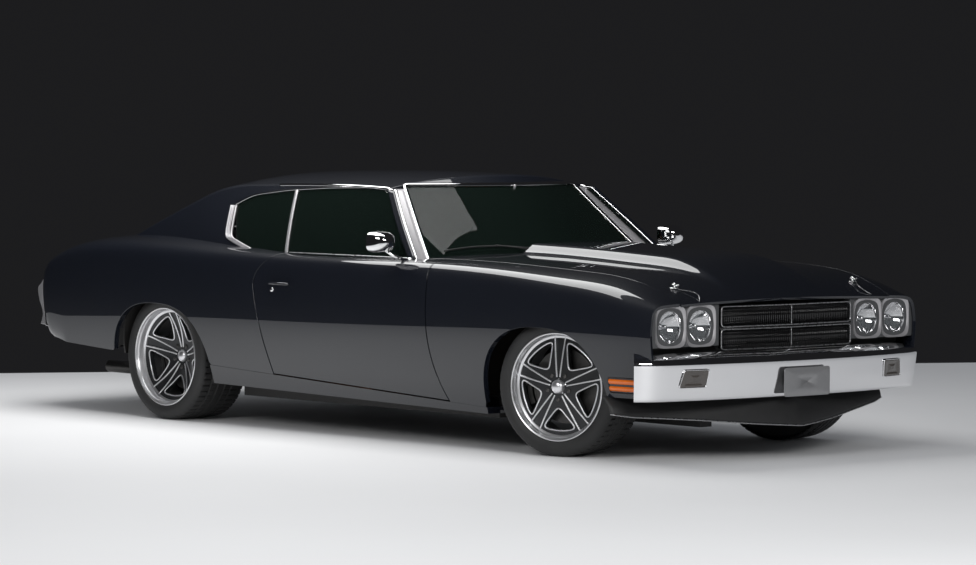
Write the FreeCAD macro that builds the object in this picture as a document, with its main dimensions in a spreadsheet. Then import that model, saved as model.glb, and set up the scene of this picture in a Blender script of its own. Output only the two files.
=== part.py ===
import FreeCAD, Part
import math
import os
import Sketcher
from FreeCAD import Placement, Rotation, Vector

# A lowered two-door hardtop muscle car.
# +X points forward, +Y to the car's left, +Z up.
# The origin is on the ground, at mid length and mid width.

doc = FreeCAD.newDocument("Coupe")
sheet = doc.addObject("Spreadsheet::Sheet", "Sizes")

SIZES = (
    ("body_length", 5009.0, "bumper to bumper"),
    ("body_width", 1915.0, "over the widest line of the sides"),
    ("belt_height", 872.0, "lower edge of the side glass"),
    ("roof_height", 1279.0, "top of the roof above the ground"),
    ("wheelbase", 2845.0, "front to rear axle"),
    ("front_overhang", 815.0, "front axle to the front of the bumper"),
    ("steer_rest_angle", 14.0, "front wheels turned to the left, degrees"),
    ("kingpin_offset", 700.0, "steering axis from mid width"),
    ("tyre_radius", 322.0, "ground to axle"),
    ("tyre_shoulder", 26.0, "rounding of the tread edge"),
    ("tyre_bulge", 9.0, "sidewall outside the rim edge"),
    ("tyre_width_front", 245.0, "front tyre section"),
    ("tyre_width_rear", 285.0, "rear tyre section"),
    ("rim_radius", 245.0, "outer edge of the rim lip"),
    ("rim_face_front", 851.0, "outer rim plane from mid width, front"),
    ("rim_face_rear", 881.0, "outer rim plane from mid width, rear"),
    ("rim_wall", 9.0, "barrel thickness"),
    ("rim_lip", 16.0, "lip height over the bead seat"),
    ("rim_lip_width", 14.0, "lip width along the axle"),
    ("spoke_depth_front", 34.0, "spoke face behind the lip, front"),
    ("spoke_depth_rear", 92.0, "spoke face behind the lip, rear"),
    ("spoke_thickness", 34.0, "wheel disc thickness"),
    ("hub_radius", 84.0, "wheel centre"),
    ("cap_radius", 33.0, "centre cap"),
    ("cap_height", 17.0, "centre cap over the spoke face"),
    ("disc_radius", 172.0, "brake disc"),
    ("disc_thickness", 28.0, "brake disc"),
    ("axle_radius", 34.0, "hub carried in the knuckle"),
    ("running_gap", 8.0, "between turning and standing pieces"),
    ("wheel_room", 30.0, "clear space round a tyre"),
    ("skin", 12.0, "outer panel thickness"),
    ("lid_skin", 20.0, "hood and trunk lid thickness"),
    ("door_thickness", 95.0, "door, inside to outside"),
    ("door_skin", 26.0, "outer part of the door that reaches its gaps"),
    ("door_step", 10.0, "door shell set in behind its outer part"),
    ("wall_thickness", 42.0, "quarter wall, inside to outside"),
    ("pillar_thickness", 38.0, "roof and pillar thickness"),
    ("panel_gap", 6.0, "between moving and fixed panels"),
    ("joint_gap", 0.3, "between pieces that seat on each other"),
    ("overrun", 60.0, "what cutting tools reach past the work"),
    ("glass", 5.0, "glass thickness"),
    ("dome_height", 46.0, "raised centre of the hood"),
    ("dome_half_width", 345.0, "raised centre of the hood"),
    ("dome_edge", 70.0, "sloping side of the raised centre"),
    ("arch_top", 596.0, "wheel opening top above ground"),
    ("arch_half_length", 408.0, "wheel opening, half length at its foot"),
    ("arch_foot", 200.0, "height where the wheel opening is longest"),
    ("door_setback", 767.0, "front axle to the front gap of the door"),
    ("door_length", 1281.0, "door from gap to gap"),
    ("door_toe", 96.0, "lower front corner of the door ahead of its edge"),
    ("door_heel", 104.0, "lower rear corner of the door ahead of its edge"),
    ("rocker_low_front", 165.0, "rocker lower edge at the front wheel"),
    ("rocker_low_rear", 216.0, "rocker lower edge at the rear wheel"),
    ("rocker_depth", 220.0, "rocker, inside to outside"),
    ("door_low_front", 226.0, "door lower edge at its front"),
    ("door_low_rear", 288.0, "door lower edge at its rear"),
    ("rail_height", 90.0, "frame rail section"),
    ("rail_width", 75.0, "frame rail section"),
    ("frame_low", 145.0, "frame rail underside above ground"),
    ("frame_narrow", 370.0, "front and rear rail centres from mid width"),
    ("floor_height", 238.0, "floor pan top above ground"),
    ("floor_thickness", 20.0, "floor pan"),
    ("tunnel_half_width", 125.0, "tunnel over the driveshaft"),
    ("tunnel_height", 165.0, "tunnel above the floor pan"),
    ("plate_width", 300.0, "blank licence plate"),
    ("plate_height", 132.0, "blank licence plate"),
    ("plate_thickness", 3.0, "blank licence plate"),
    ("plate_bolt_spacing", 178.0, "between the plate's two bolt holes"),
    ("plate_hole_radius", 3.5, "plate bolt hole"),
    ("plate_stand", 9.0, "plate ahead of the bumper"),
    ("plate_low", 288.0, "plate lower edge above ground"),
    ("bracket_half_width", 45.0, "plate bracket"),
    ("bracket_depth", 60.0, "plate bracket"),
    ("lamp_radius", 72.0, "round headlamp lens"),
    ("lamp_depth", 60.0, "headlamp body behind the lens"),
    ("lamp_outer_place", 744.0, "outer headlamp from mid width"),
    ("lamp_inner_place", 553.0, "inner headlamp from mid width"),
    ("lamp_height", 620.0, "headlamp centre above ground"),
    ("lamp_setback", 153.0, "headlamp face behind the front of the bumper"),
    ("bezel_low", 528.0, "headlamp bezel lower edge above ground"),
    ("bezel_high", 722.0, "headlamp bezel upper edge above ground"),
    ("lamp_proud", 5.0, "how far the small lamps stand out"),
    ("bezel_thickness", 26.0, "headlamp bezel panel"),
    ("grille_half_width", 434.0, "grille opening"),
    ("grille_low", 500.0, "grille lower edge above ground"),
    ("grille_high", 706.0, "grille upper edge above ground"),
    ("grille_depth", 40.0, "grille, front to back"),
    ("grille_bar", 14.0, "grille frame bar"),
    ("bumper_low", 284.0, "front bumper lower edge above ground"),
    ("bumper_high", 440.0, "front bumper upper front edge"),
    ("bumper_shelf_high", 505.0, "back edge of the bumper's upper face"),
    ("bumper_shelf", 74.0, "depth of the bumper's upper face"),
    ("bumper_wall", 12.0, "bumper bar thickness"),
    ("bumper_bow", 92.0, "front face at mid width ahead of its corners"),
    ("bumper_corner", 800.0, "front corner from mid width"),
    ("bumper_side", 936.0, "bumper side end from mid width"),
    ("bumper_return", 184.0, "side end behind the bumper front"),
    ("rear_bumper_low", 472.0, "rear bumper lower edge above ground"),
    ("rear_bumper_high", 690.0, "rear bumper upper edge above ground"),
    ("tail_side", 885.0, "rear bumper side end from mid width"),
    ("tail_corner", 823.0, "rear bumper corner from mid width"),
    ("tail_bow", 83.0, "rear bumper at mid width behind its corners"),
    ("tail_return", 202.0, "side end ahead of the rear bumper"),
    ("tail_panel_wall", 15.0, "closing panel behind the trunk"),
    ("frame_side", 700.0, "middle rail centres from mid width"),
    ("rear_rail_side", 430.0, "rear rail centres from mid width"),
    ("rear_rail_low", 400.0, "rear rail over the axle, underside above ground"),
    ("axle_tube_radius", 42.0, "rear axle tube"),
    ("diff_radius", 120.0, "rear axle centre housing"),
    ("shaft_radius", 38.0, "driveshaft"),
    ("pipe_radius", 32.0, "exhaust pipe"),
    ("pipe_side", 300.0, "exhaust pipe from mid width"),
    ("pipe_height", 188.0, "exhaust pipe centre above ground"),
    ("muffler_length", 480.0, "muffler"),
    ("muffler_radius", 46.0, "muffler"),
    ("engine_length", 711.0, "engine block with its gearbox"),
    ("engine_width", 574.0, "engine block"),
    ("engine_height", 506.0, "engine block"),
    ("engine_setback", 484.0, "front axle to the rear of the engine block"),
    ("tank_length", 450.0, "fuel tank"),
    ("tank_width", 720.0, "fuel tank"),
    ("tank_height", 148.0, "fuel tank"),
    ("tank_setback", 965.0, "rear axle to the rear of the tank"),
    ("kingpin_radius", 16.0, "steering pivot pin"),
    ("kingpin_half", 118.0, "steering pivot pin, half length"),
    ("knuckle_radius", 60.0, "bearing carrier"),
    ("knuckle_length", 78.0, "bearing carrier"),
    ("arm_width", 52.0, "suspension arm"),
    ("arm_thickness", 24.0, "suspension arm"),
    ("pin_clearance", 0.05, "radial, at pins and shafts"),
    ("caliper_reach", 205.0, "brake caliper, outer radius about the axle"),
    ("caliper_inner", 120.0, "brake caliper, inner radius about the axle"),
    ("caliper_wall", 24.0, "brake caliper, beside the disc"),
    ("seat_width", 460.0, "front seat"),
    ("seat_side", 372.0, "front seat centre from mid width"),
    ("cushion_length", 500.0, "front seat cushion"),
    ("cushion_height", 150.0, "front seat cushion"),
    ("back_height", 520.0, "front seat back"),
    ("back_thickness", 130.0, "front seat back"),
    ("headrest_width", 260.0, "headrest"),
    ("headrest_height", 160.0, "headrest"),
    ("seat_back_place", 50.0, "rear end of the front seat cushions ahead of mid length"),
    ("bench_half_width", 570.0, "rear seat"),
    ("bench_back_height", 350.0, "rear seat back above its cushion"),
    ("bench_back_top", 60.0, "rear seat back thickness at its top"),
    ("dash_depth", 275.0, "dashboard"),
    ("dash_half_width", 708.0, "dashboard"),
    ("dash_low", 628.0, "dashboard lower edge above ground"),
    ("dash_high", 811.0, "dashboard upper edge above ground"),
    ("parcel_shelf_wall", 12.0, "shelf behind the rear seat"),
    ("steering_wheel_radius", 180.0, "to the middle of the rim"),
    ("steering_rim_radius", 14.0, "steering wheel rim section"),
    ("steering_tilt", 62.0, "steering wheel axis from the vertical, degrees"),
    ("steering_setback", 501.0, "steering wheel behind the firewall"),
    ("steering_height", 750.0, "steering wheel centre above ground"),
    ("column_length", 325.0, "steering wheel centre to the column end"),
    ("spoiler_wall", 8.0, "chin spoiler"),
    ("spoiler_setback", 38.0, "chin spoiler behind the front bumper face"),
    ("spoiler_reach", 22.0, "chin spoiler lower edge ahead of its top"),
    ("tail_lamp_height", 90.0, "tail lamp"),
    ("turn_lamp_height", 70.0, "turn lamp"),
    ("marker_length", 150.0, "side marker"),
    ("marker_height", 58.0, "side marker"),
    ("mirror_radius", 62.0, "mirror head"),
    ("mirror_length", 110.0, "mirror head"),
    ("mirror_setback", 243.0, "mirror foot behind the door front"),
    ("mirror_stem", 10.0, "mirror arm radius"),
    ("pin_place", 591.0, "hood pin from mid width"),
    ("pin_setback", 271.0, "hood pin behind the front of the bumper"),
    ("pin_size", 11.0, "hood pin radius"),
    ("pin_rise", 24.0, "hood pin above the hood"),
)

for line, (alias, value, note) in enumerate(SIZES, start=1):
    sheet.set("A%d" % line, alias)
    sheet.set("B%d" % line, str(value))
    sheet.set("C%d" % line, note)
    sheet.setAlias("B%d" % line, alias)
doc.recompute()


class Sizes:
    pass


S = Sizes()
for alias, value, note in SIZES:
    setattr(S, alias, float(sheet.get(alias)))

half_length = S.body_length / 2
half_width = S.body_width / 2
x_front_axle = half_length - S.front_overhang
x_rear_axle = x_front_axle - S.wheelbase
x_door_front = x_front_axle - S.door_setback
x_door_rear = x_door_front - S.door_length


# Curves


def spline_rule(places, values):
    """Natural cubic spline through the given places, straight beyond its ends."""
    count = len(places)
    steps = [places[i + 1] - places[i] for i in range(count - 1)]
    slopes = [(values[i + 1] - values[i]) / steps[i] for i in range(count - 1)]
    upper = [0.0] * count
    right = [0.0] * count
    for i in range(1, count - 1):
        pivot = 2 * (steps[i - 1] + steps[i]) - steps[i - 1] * upper[i - 1]
        upper[i] = steps[i] / pivot
        right[i] = (6 * (slopes[i] - slopes[i - 1]) - steps[i - 1] * right[i - 1]) / pivot
    bends = [0.0] * count
    for i in range(count - 2, 0, -1):
        bends[i] = right[i] - upper[i] * bends[i + 1]

    def rule(x):
        i = 0
        while i < count - 2 and x > places[i + 1]:
            i += 1
        step = steps[i]
        into = min(max(x - places[i], 0.0), step)
        rest = step - into
        height = (bends[i] * rest ** 3 + bends[i + 1] * into ** 3) / (6 * step)
        height += (values[i] / step - bends[i] * step / 6) * rest
        height += (values[i + 1] / step - bends[i + 1] * step / 6) * into
        if x < places[0]:
            height += (x - places[0]) * (slopes[0] - bends[1] * steps[0] / 6)
        if x > places[-1]:
            height += (x - places[-1]) * (slopes[-1] + bends[-2] * steps[-1] / 6)
        return height

    return rule


def blend_curve(poles, share):
    """Point of a clamped cubic B-spline with evenly spaced knots, share from 0 to 1."""
    count = len(poles)
    spans = count - 3
    knots = [0.0] * 3 + [float(k) for k in range(spans + 1)] + [float(spans)] * 3
    place = min(max(share, 0.0), 1.0) * spans
    span = min(int(place), spans - 1) + 3
    points = [list(poles[j]) for j in range(span - 3, span + 1)]
    for level in range(1, 4):
        for j in range(3, level - 1, -1):
            low = knots[j + span - 3]
            high = knots[j + 1 + span - level]
            part = (place - low) / (high - low)
            points[j] = [(1 - part) * a + part * b for a, b in zip(points[j - 1], points[j])]
    return points[3]


def soft_step(value):
    part = min(max(value, 0.0), 1.0)
    return part * part * (3 - 2 * part)


# Lines that the body panels follow, as shares of half the length, half the width and the belt height.

STATION_SHARES = (-1.0, -0.92, -0.82, -0.68, -0.457, -0.128, 0.12, 0.375, 0.56, 0.72, 0.84, 0.90, 0.975)
WIDEST_SHARES = (0.905, 0.932, 0.957, 0.982, 1.0, 0.9975, 0.995, 0.992, 0.988, 0.982, 0.966, 0.948, 0.905)
WIDEST_HEIGHT_SHARES = (0.69, 0.675, 0.66, 0.642, 0.63, 0.608, 0.602, 0.608, 0.619, 0.625, 0.625, 0.625, 0.62)
CREASE_HEIGHT_SHARES = (0.66, 0.82, 0.955, 1.02, 1.03, 0.990, 0.983, 0.990, 0.970, 0.930, 0.885, 0.850, 0.805)
GAP_HEIGHT_SHARES = (0.70, 0.875, 1.003, 1.061, 1.064, 1.012, 1.003, 1.010, 0.998, 0.976, 0.939, 0.888, 0.795)
GAP_WIDTH_SHARES = (0.60, 0.61, 0.63, 0.655, 0.70, 0.86, 0.875, 0.80, 0.778, 0.768, 0.752, 0.737, 0.72)
CENTRE_HEIGHT_SHARES = (0.75, 0.917, 1.038, 1.090, 1.094, 1.044, 1.034, 1.038, 1.024, 1.002, 0.963, 0.910, 0.806)
SIDE_FOOT_SHARE = 0.11
SIDE_LOW_SHARE = 0.052
SIDE_UPPER_SHARE = 0.007
CREASE_LEAN_SHARE = 0.026
FOOT_HEIGHT_SHARE = 0.115
LOW_HEIGHT_SHARE = 0.33
UPPER_PLACE_SHARE = 0.62
SHELF_PLACE_SHARE = 0.40
SHELF_RISE_SHARE = 0.70
DOME_FADE_SHARE = 0.22
NOSE_SHARE = 0.953

stations = [share * half_length for share in STATION_SHARES]
x_hood_front = NOSE_SHARE * half_length


def body_line(shares, scale):
    return spline_rule(stations, [share * scale for share in shares])


widest = body_line(WIDEST_SHARES, half_width)
widest_height = body_line(WIDEST_HEIGHT_SHARES, S.belt_height)
crease_height = body_line(CREASE_HEIGHT_SHARES, S.belt_height)
gap_height = body_line(GAP_HEIGHT_SHARES, S.belt_height)
gap_width = body_line(GAP_WIDTH_SHARES, half_width)
centre_height = body_line(CENTRE_HEIGHT_SHARES, S.belt_height)


def side_point(x, share):
    """Point of the left side's section, from its foot (0) to the lid gap (1)."""
    wide = widest(x)
    mid = widest_height(x)
    crease_y = wide - CREASE_LEAN_SHARE * half_width
    crease_z = crease_height(x)
    inner_y = gap_width(x)
    inner_z = gap_height(x)
    poles = (
        (wide - SIDE_FOOT_SHARE * half_width, FOOT_HEIGHT_SHARE * S.belt_height),
        (wide - SIDE_LOW_SHARE * half_width, LOW_HEIGHT_SHARE * S.belt_height),
        (wide + SIDE_UPPER_SHARE * half_width, mid),
        (wide - SIDE_UPPER_SHARE * half_width, mid + UPPER_PLACE_SHARE * (crease_z - mid)),
        (crease_y, crease_z),
        (
            crease_y + SHELF_PLACE_SHARE * (inner_y - crease_y),
            crease_z + SHELF_RISE_SHARE * (inner_z - crease_z),
        ),
        (inner_y, inner_z),
    )
    y, z = blend_curve(poles, share)
    return Vector(x, y, z)


def dome(x, y):
    """Height of the raised centre of the hood above the plain hood surface."""
    across = soft_step((S.dome_half_width - abs(y)) / S.dome_edge)
    fade = soft_step((x_hood_front - x) / (DOME_FADE_SHARE * half_length))
    return S.dome_height * across * fade


def top_point(x, y, raised=0.0):
    """Point of the hood, cowl and deck surface."""
    share = y / gap_width(x)
    z = centre_height(x) + (gap_height(x) - centre_height(x)) * share * share
    return Vector(x, y, z + raised * dome(x, y))


# Roof, glass and pillars

ROOF_STATION_SHARES = (-0.76, -0.70, -0.64, -0.56, -0.48, -0.40, -0.28, -0.06, 0.08, 0.214, 0.30)
ROOF_HEIGHT_SHARES = (0.722, 0.750, 0.797, 0.860, 0.919, 0.970, 0.993, 1.0, 0.9975, 0.985, 0.968)
ROOF_CROWN_SHARE = 0.045
GLASS_BASE_X_SHARE = 0.359
GLASS_BOW_SHARE = 0.0886
GLASS_LEAN = 1.15
SIDE_BASE_SHARE = 0.856
SIDE_LEAN = 0.42
SIDE_CURVE_SHARE = 0.34
SAIL_TAPER_SHARE = 0.12
SAIL_SHARE = -0.22
SAIL_END_SHARE = -0.74
WIDE_ROOF_SHARE = 0.62
WIDE_GLASS_SHARE = 0.90
COWL_SHARE = 0.403
x_sail = SAIL_SHARE * half_length
x_sail_end = SAIL_END_SHARE * half_length

roof_line = spline_rule(
    [share * half_length for share in ROOF_STATION_SHARES],
    [share * S.roof_height for share in ROOF_HEIGHT_SHARES],
)


def roof_point(x, y):
    across = y / half_width
    fall = ROOF_CROWN_SHARE * S.roof_height * (across / WIDE_ROOF_SHARE) ** 2
    return Vector(x, y, roof_line(x) - fall)


def glass_bow(y):
    """How far the windshield and the hood's rear edge fall back from mid width."""
    across = y / (WIDE_GLASS_SHARE * half_width)
    return GLASS_BOW_SHARE * half_length * math.sin(0.5 * math.pi * across) ** 2


def windshield_point(y, z):
    return Vector(GLASS_BASE_X_SHARE * half_length - glass_bow(y) - GLASS_LEAN * (z - S.belt_height), y, z)


def cabin_side_point(x, z):
    rise = z - S.belt_height
    taper = SAIL_TAPER_SHARE * half_width * soft_step((x_sail - x) / (x_sail - x_sail_end))
    y = SIDE_BASE_SHARE * half_width - SIDE_LEAN * rise - SIDE_CURVE_SHARE * rise * rise / S.roof_height
    return Vector(x, y - taper, z)


def hood_rear_line(y):
    return COWL_SHARE * half_length - glass_bow(y)


# Making shapes


def spread(low, high, count):
    return [low + (high - low) * i / (count - 1) for i in range(count)]


def curve_poles(points, places):
    curve = Part.BSplineCurve()
    curve.interpolate(Points=points, Parameters=places)
    return curve


def surface_face(rows):
    """Smooth face through a grid of points, evenly spaced in both directions."""
    down = [float(i) for i in range(len(rows))]
    across = [float(j) for j in range(len(rows[0]))]
    columns = [curve_poles([row[j] for row in rows], down) for j in range(len(across))]
    grid = list(zip(*[column.getPoles() for column in columns]))
    lines = [curve_poles(list(row), across) for row in grid]
    poles = [line.getPoles() for line in lines]
    surface = Part.BSplineSurface()
    surface.buildFromPolesMultsKnots(
        poles,
        columns[0].getMultiplicities(),
        lines[0].getMultiplicities(),
        columns[0].getKnots(),
        lines[0].getKnots(),
        False,
        False,
        columns[0].Degree,
        lines[0].Degree,
    )
    return surface.toShape()


def slab(rows, push):
    """Solid between a surface through the rows of points and its copy moved by push."""
    solid = surface_face(rows).extrude(push)
    if solid.Volume < 0:
        solid.reverse()
    return solid


def prism(points, push):
    """Solid over a closed outline."""
    wire = Part.makePolygon(list(points) + [points[0]])
    solid = Part.Face(wire).extrude(push)
    if solid.Volume < 0:
        solid.reverse()
    return solid


def side_prism(outline, y_low, y_high):
    """Solid over an outline of (x, z) between two planes across the car."""
    points = [Vector(x, y_low, z) for x, z in outline]
    return prism(points, Vector(0, y_high - y_low, 0))


def plan_prism(outline, z_low, z_high):
    points = [Vector(x, y, z_low) for x, y in outline]
    return prism(points, Vector(0, 0, z_high - z_low))


def box(x_low, x_high, y_low, y_high, z_low, z_high):
    return Part.makeBox(x_high - x_low, y_high - y_low, z_high - z_low, Vector(x_low, y_low, z_low))


def mirrored(shape):
    return shape.mirror(Vector(0, 0, 0), Vector(0, 1, 0))


def both_sides(shape):
    return Part.makeCompound([shape, mirrored(shape)])


def rod(start, end, radius):
    along = end - start
    return Part.makeCylinder(radius, along.Length, start, along)


def cut_all(shape, *tools):
    for tool in tools:
        shape = shape.cut(tool)
    return shape


def largest(shape):
    return max(shape.Solids, key=lambda solid: solid.Volume)


def inset(points, amount):
    """Closed outline with every edge moved inwards by amount."""
    count = len(points)
    twice_area = sum(points[i - 1][0] * points[i][1] - points[i][0] * points[i - 1][1] for i in range(count))
    turn = math.copysign(1.0, twice_area)
    normals = []
    for i in range(count):
        across = points[i][0] - points[i - 1][0]
        up = points[i][1] - points[i - 1][1]
        normals.append((-turn * up / math.hypot(across, up), turn * across / math.hypot(across, up)))
    moved = []
    for i in range(count):
        before = normals[i]
        after = normals[(i + 1) % count]
        share = amount / (1 + before[0] * after[0] + before[1] * after[1])
        moved.append((points[i][0] + share * (before[0] + after[0]), points[i][1] + share * (before[1] + after[1])))
    return moved


def feature(name, shape):
    """Keep a shape as a named piece of the car."""
    item = doc.addObject("Part::Feature", name)
    item.Label = name
    item.Shape = shape
    nodes.append(item)
    return item


nodes = []

# Outlines shared by the panels that meet

DOOR_TOE_POWER = 4
DOOR_SHOULDER_SHARE = 0.83
DOOR_CORNER_SHARE = 0.10
DOOR_TOP_SHARE = 0.93
ARCH_SQUARENESS = 2.5
DOOR_ROWS = 12
ARCH_ROWS = 24
SIDE_ROWS = 21
SIDE_COLUMNS = 11
NOSE_END_SHARE = 0.948
TAIL_END_SHARE = 0.958
z_sky = S.roof_height + S.overrun
z_under = 0.5 * S.belt_height
y_out = half_width + S.overrun
x_middle = 0.5 * (x_door_front + x_door_rear)
x_nose = NOSE_END_SHARE * half_length
x_tail = -TAIL_END_SHARE * half_length


def door_front_line(z):
    """The front gap of the door: straight above, curving forward at its toe."""
    fall = (S.belt_height - z) / (S.belt_height - S.door_low_front)
    return x_door_front + S.door_toe * max(fall, 0.0) ** DOOR_TOE_POWER


def door_rear_line(z):
    """The rear gap of the door: leans forward below, rounds forward to the belt."""
    shoulder = DOOR_SHOULDER_SHARE * S.belt_height
    lean = S.door_heel * max((shoulder - z) / (shoulder - S.door_low_rear), 0.0)
    rounding = DOOR_CORNER_SHARE * S.door_length * max((z - shoulder) / (S.belt_height - shoulder), 0.0) ** 2
    return x_door_rear + lean + rounding


def door_outline(grow):
    """Outline of the door in side view, grown all round by grow."""
    high = S.belt_height + S.overrun
    rear = [(door_rear_line(z) - grow, z) for z in spread(S.belt_height, S.door_low_rear - grow, DOOR_ROWS)]
    front = [(door_front_line(z) + grow, z) for z in spread(S.door_low_front - grow, S.belt_height, DOOR_ROWS)]
    return [(rear[0][0], high)] + rear + front + [(front[-1][0], high)]


def arch_outline(x_axle, grow):
    """Wheel opening in side view: an oval, squarer than a circle, open below."""
    points = []
    reach = S.arch_half_length + grow
    rise = S.arch_top - S.arch_foot + grow
    for i in range(ARCH_ROWS + 1):
        c = math.cos(math.pi * i / ARCH_ROWS)
        s = math.sin(math.pi * i / ARCH_ROWS)
        x = x_axle + reach * math.copysign(abs(c) ** (2 / ARCH_SQUARENESS), c)
        points.append((x, S.arch_foot + rise * abs(s) ** (2 / ARCH_SQUARENESS)))
    return points + [(x_axle - reach, -S.overrun), (x_axle + reach, -S.overrun)]


def rocker_low(x):
    return S.rocker_low_rear + (S.rocker_low_front - S.rocker_low_rear) * (x - x_rear_axle) / S.wheelbase


def door_low(x):
    return S.door_low_rear + (S.door_low_front - S.door_low_rear) * (x - x_door_rear) / S.door_length


def side_below(x_rear, z_rear, x_front, z_front):
    """Everything on the left below a straight line in side view."""
    corners = [(x_rear, -S.overrun), (x_rear, z_rear), (x_front, z_front), (x_front, -S.overrun)]
    return side_prism(corners, 0, y_out)


def side_rows_between(x_low, x_high, share_low, share_high):
    rows = []
    for x in spread(x_low, x_high, SIDE_ROWS):
        rows.append([side_point(x, share) for share in spread(share_low, share_high, SIDE_COLUMNS)])
    return rows


# Hood and trunk lid

TOP_ROWS = 21
TOP_COLUMNS = 15
GAP_ROWS = 25
TOP_REACH_SHARE = 0.9
DECK_FRONT_SHARE = -0.69
DECK_REAR_SHARE = -0.955
x_deck_front = DECK_FRONT_SHARE * half_length
x_deck_rear = DECK_REAR_SHARE * half_length


def top_band(x_low, x_high, raised, lift, thickness):
    """Slab under the top surface of the body, lifted by lift."""
    y_side = TOP_REACH_SHARE * half_width
    rows = []
    for x in spread(x_low, x_high, TOP_ROWS):
        row = [top_point(x, y, raised) for y in spread(-y_side, y_side, TOP_COLUMNS)]
        rows.append([p + Vector(0, 0, lift) for p in row])
    return slab(rows, Vector(0, 0, -thickness))


def gap_outline(x_low, x_high, grow):
    """Plan outline between the two lid gaps."""
    left = [(x, gap_width(x) + grow) for x in spread(x_low, x_high, GAP_ROWS)]
    return left + [(x, -y) for x, y in reversed(left)]


HOOD_SIDE_SHARE = 0.774


def hood_side(x):
    """Half width of the hood, which stays inside the doors."""
    return min(gap_width(x), HOOD_SIDE_SHARE * half_width)


def hood_outline(grow):
    """Plan outline of the hood: bowed rear edge, sides on the lid gaps, straight front edge."""
    y_rear = hood_side(x_door_front) + grow
    x_corner = hood_rear_line(y_rear) - grow
    rear = [(hood_rear_line(y) - grow, y) for y in spread(-y_rear, y_rear, GAP_ROWS)]
    left = [(x, hood_side(x) + grow) for x in spread(x_corner, x_hood_front + grow, GAP_ROWS)]
    right = [(x, -y) for x, y in reversed(left)]
    return rear + left[1:] + right[:-1]


x_hood_band = x_door_front - 3 * S.overrun
hood_band = top_band(x_hood_band, x_nose + S.overrun, 1.0, 0.0, S.lid_skin)
hood = hood_band.common(plan_prism(hood_outline(-S.panel_gap), z_under, z_sky))
feature("hood", hood)
room_depth = S.lid_skin + S.panel_gap + S.overrun
hood_room = top_band(x_hood_band, x_nose + S.overrun, 0.0, S.overrun, room_depth)
hood_room = hood_room.common(plan_prism(hood_outline(0.0), z_under, z_sky))
deck_band = top_band(x_tail - S.overrun, x_sail, 0.0, 0.0, S.lid_skin)
lid_plan = gap_outline(x_deck_rear, x_deck_front, -S.panel_gap)
feature("trunk_lid", deck_band.common(plan_prism(lid_plan, z_under, z_sky)))
deck_room = top_band(x_tail - S.overrun, x_sail, 0.0, S.overrun, room_depth)
deck_plan = gap_outline(x_tail - S.overrun, x_deck_front + S.panel_gap, 0.0)
deck_room = deck_room.common(plan_prism(deck_plan, z_under, z_sky))

# Doors

x_side_rear = x_door_rear - S.overrun
side_rows = side_rows_between(x_side_rear, x_door_front + S.door_toe + S.overrun, 0.0, DOOR_TOP_SHARE)
door_shell = slab(side_rows, Vector(0, -S.door_thickness, 0))
door_shell = door_shell.common(side_prism(door_outline(-S.door_step), 0, y_out))
door_outer = slab(side_rows, Vector(0, -S.door_skin, 0)).common(side_prism(door_outline(0.0), 0, y_out))
door_left = door_outer.fuse(door_shell).cut(plan_prism(hood_outline(2 * S.panel_gap), z_under, z_sky))
feature("door_left", door_left)
feature("door_right", mirrored(door_left))
door_room = slab(side_rows, Vector(0, -S.door_thickness - S.panel_gap, 0))
door_room = door_room.fuse(door_room.translated(Vector(0, 0, S.panel_gap)))
door_room = door_room.common(side_prism(door_outline(S.panel_gap), 0, y_out))

# Fenders, quarter panels and rockers

FENDER_FOOT_SHARE = 0.34
QUARTER_FOOT_SHARE = 0.36
TAIL_FOOT_SHARE = 0.44
ROCKER_TOP_SHARE = 0.45
ARCH_DEPTH_SHARE = 0.4
door_tool = side_prism(door_outline(S.panel_gap), 0, y_out)
y_arch = ARCH_DEPTH_SHARE * half_width
arch_front = side_prism(arch_outline(x_front_axle, 0.0), y_arch, y_out)
arch_rear = side_prism(arch_outline(x_rear_axle, 0.0), y_arch, y_out)
below_door = side_below(
    x_rear_axle, door_low(x_rear_axle) - S.panel_gap, x_front_axle, door_low(x_front_axle) - S.panel_gap
)
front_foot = side_below(
    x_front_axle, FENDER_FOOT_SHARE * S.belt_height, half_length, FENDER_FOOT_SHARE * S.belt_height
)
rear_foot = side_below(
    -half_length, TAIL_FOOT_SHARE * S.belt_height, x_rear_axle, QUARTER_FOOT_SHARE * S.belt_height
)
x_tail_return = -half_length + S.tail_return
tail_corner = box(
    -half_length, x_tail_return + S.panel_gap, 0, y_out,
    S.rear_bumper_low - S.panel_gap, S.rear_bumper_high + S.joint_gap,
)
body_rows = side_rows_between(x_tail, x_nose, 0.0, 1.0)
left_half = slab(body_rows, Vector(0, -half_width, 0))
fender = slab(body_rows, Vector(0, -S.skin, -S.skin)).common(box(x_middle, half_length, 0, y_out, 0, z_sky))
fender = largest(cut_all(fender, door_tool, arch_front, below_door, front_foot, hood_room))
feature("fender_left", fender)
feature("fender_right", mirrored(fender))
wall_rows = side_rows_between(x_tail, x_door_rear + 4 * S.overrun, 0.0, 1.0)
rear_half = box(-half_length, x_middle, 0, y_out, 0, z_sky)
quarter = slab(wall_rows, Vector(0, -S.wall_thickness, -S.skin)).common(rear_half)
quarter_room = slab(wall_rows, Vector(0, -S.wall_thickness - S.joint_gap, -S.skin - S.joint_gap))
quarter = largest(cut_all(quarter, door_tool, arch_rear, below_door, rear_foot, tail_corner, deck_room))
feature("quarter_left", quarter)
feature("quarter_right", mirrored(quarter))
y_sill = S.frame_side + S.rail_width / 2 + S.joint_gap
rocker_rows = side_rows_between(x_rear_axle, x_front_axle, 0.0, ROCKER_TOP_SHARE)
rocker = slab(rocker_rows, Vector(0, -S.rocker_depth, 0))
rocker = rocker.common(below_door).common(box(x_rear_axle, x_front_axle, y_sill, y_out, 0, S.belt_height))
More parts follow.
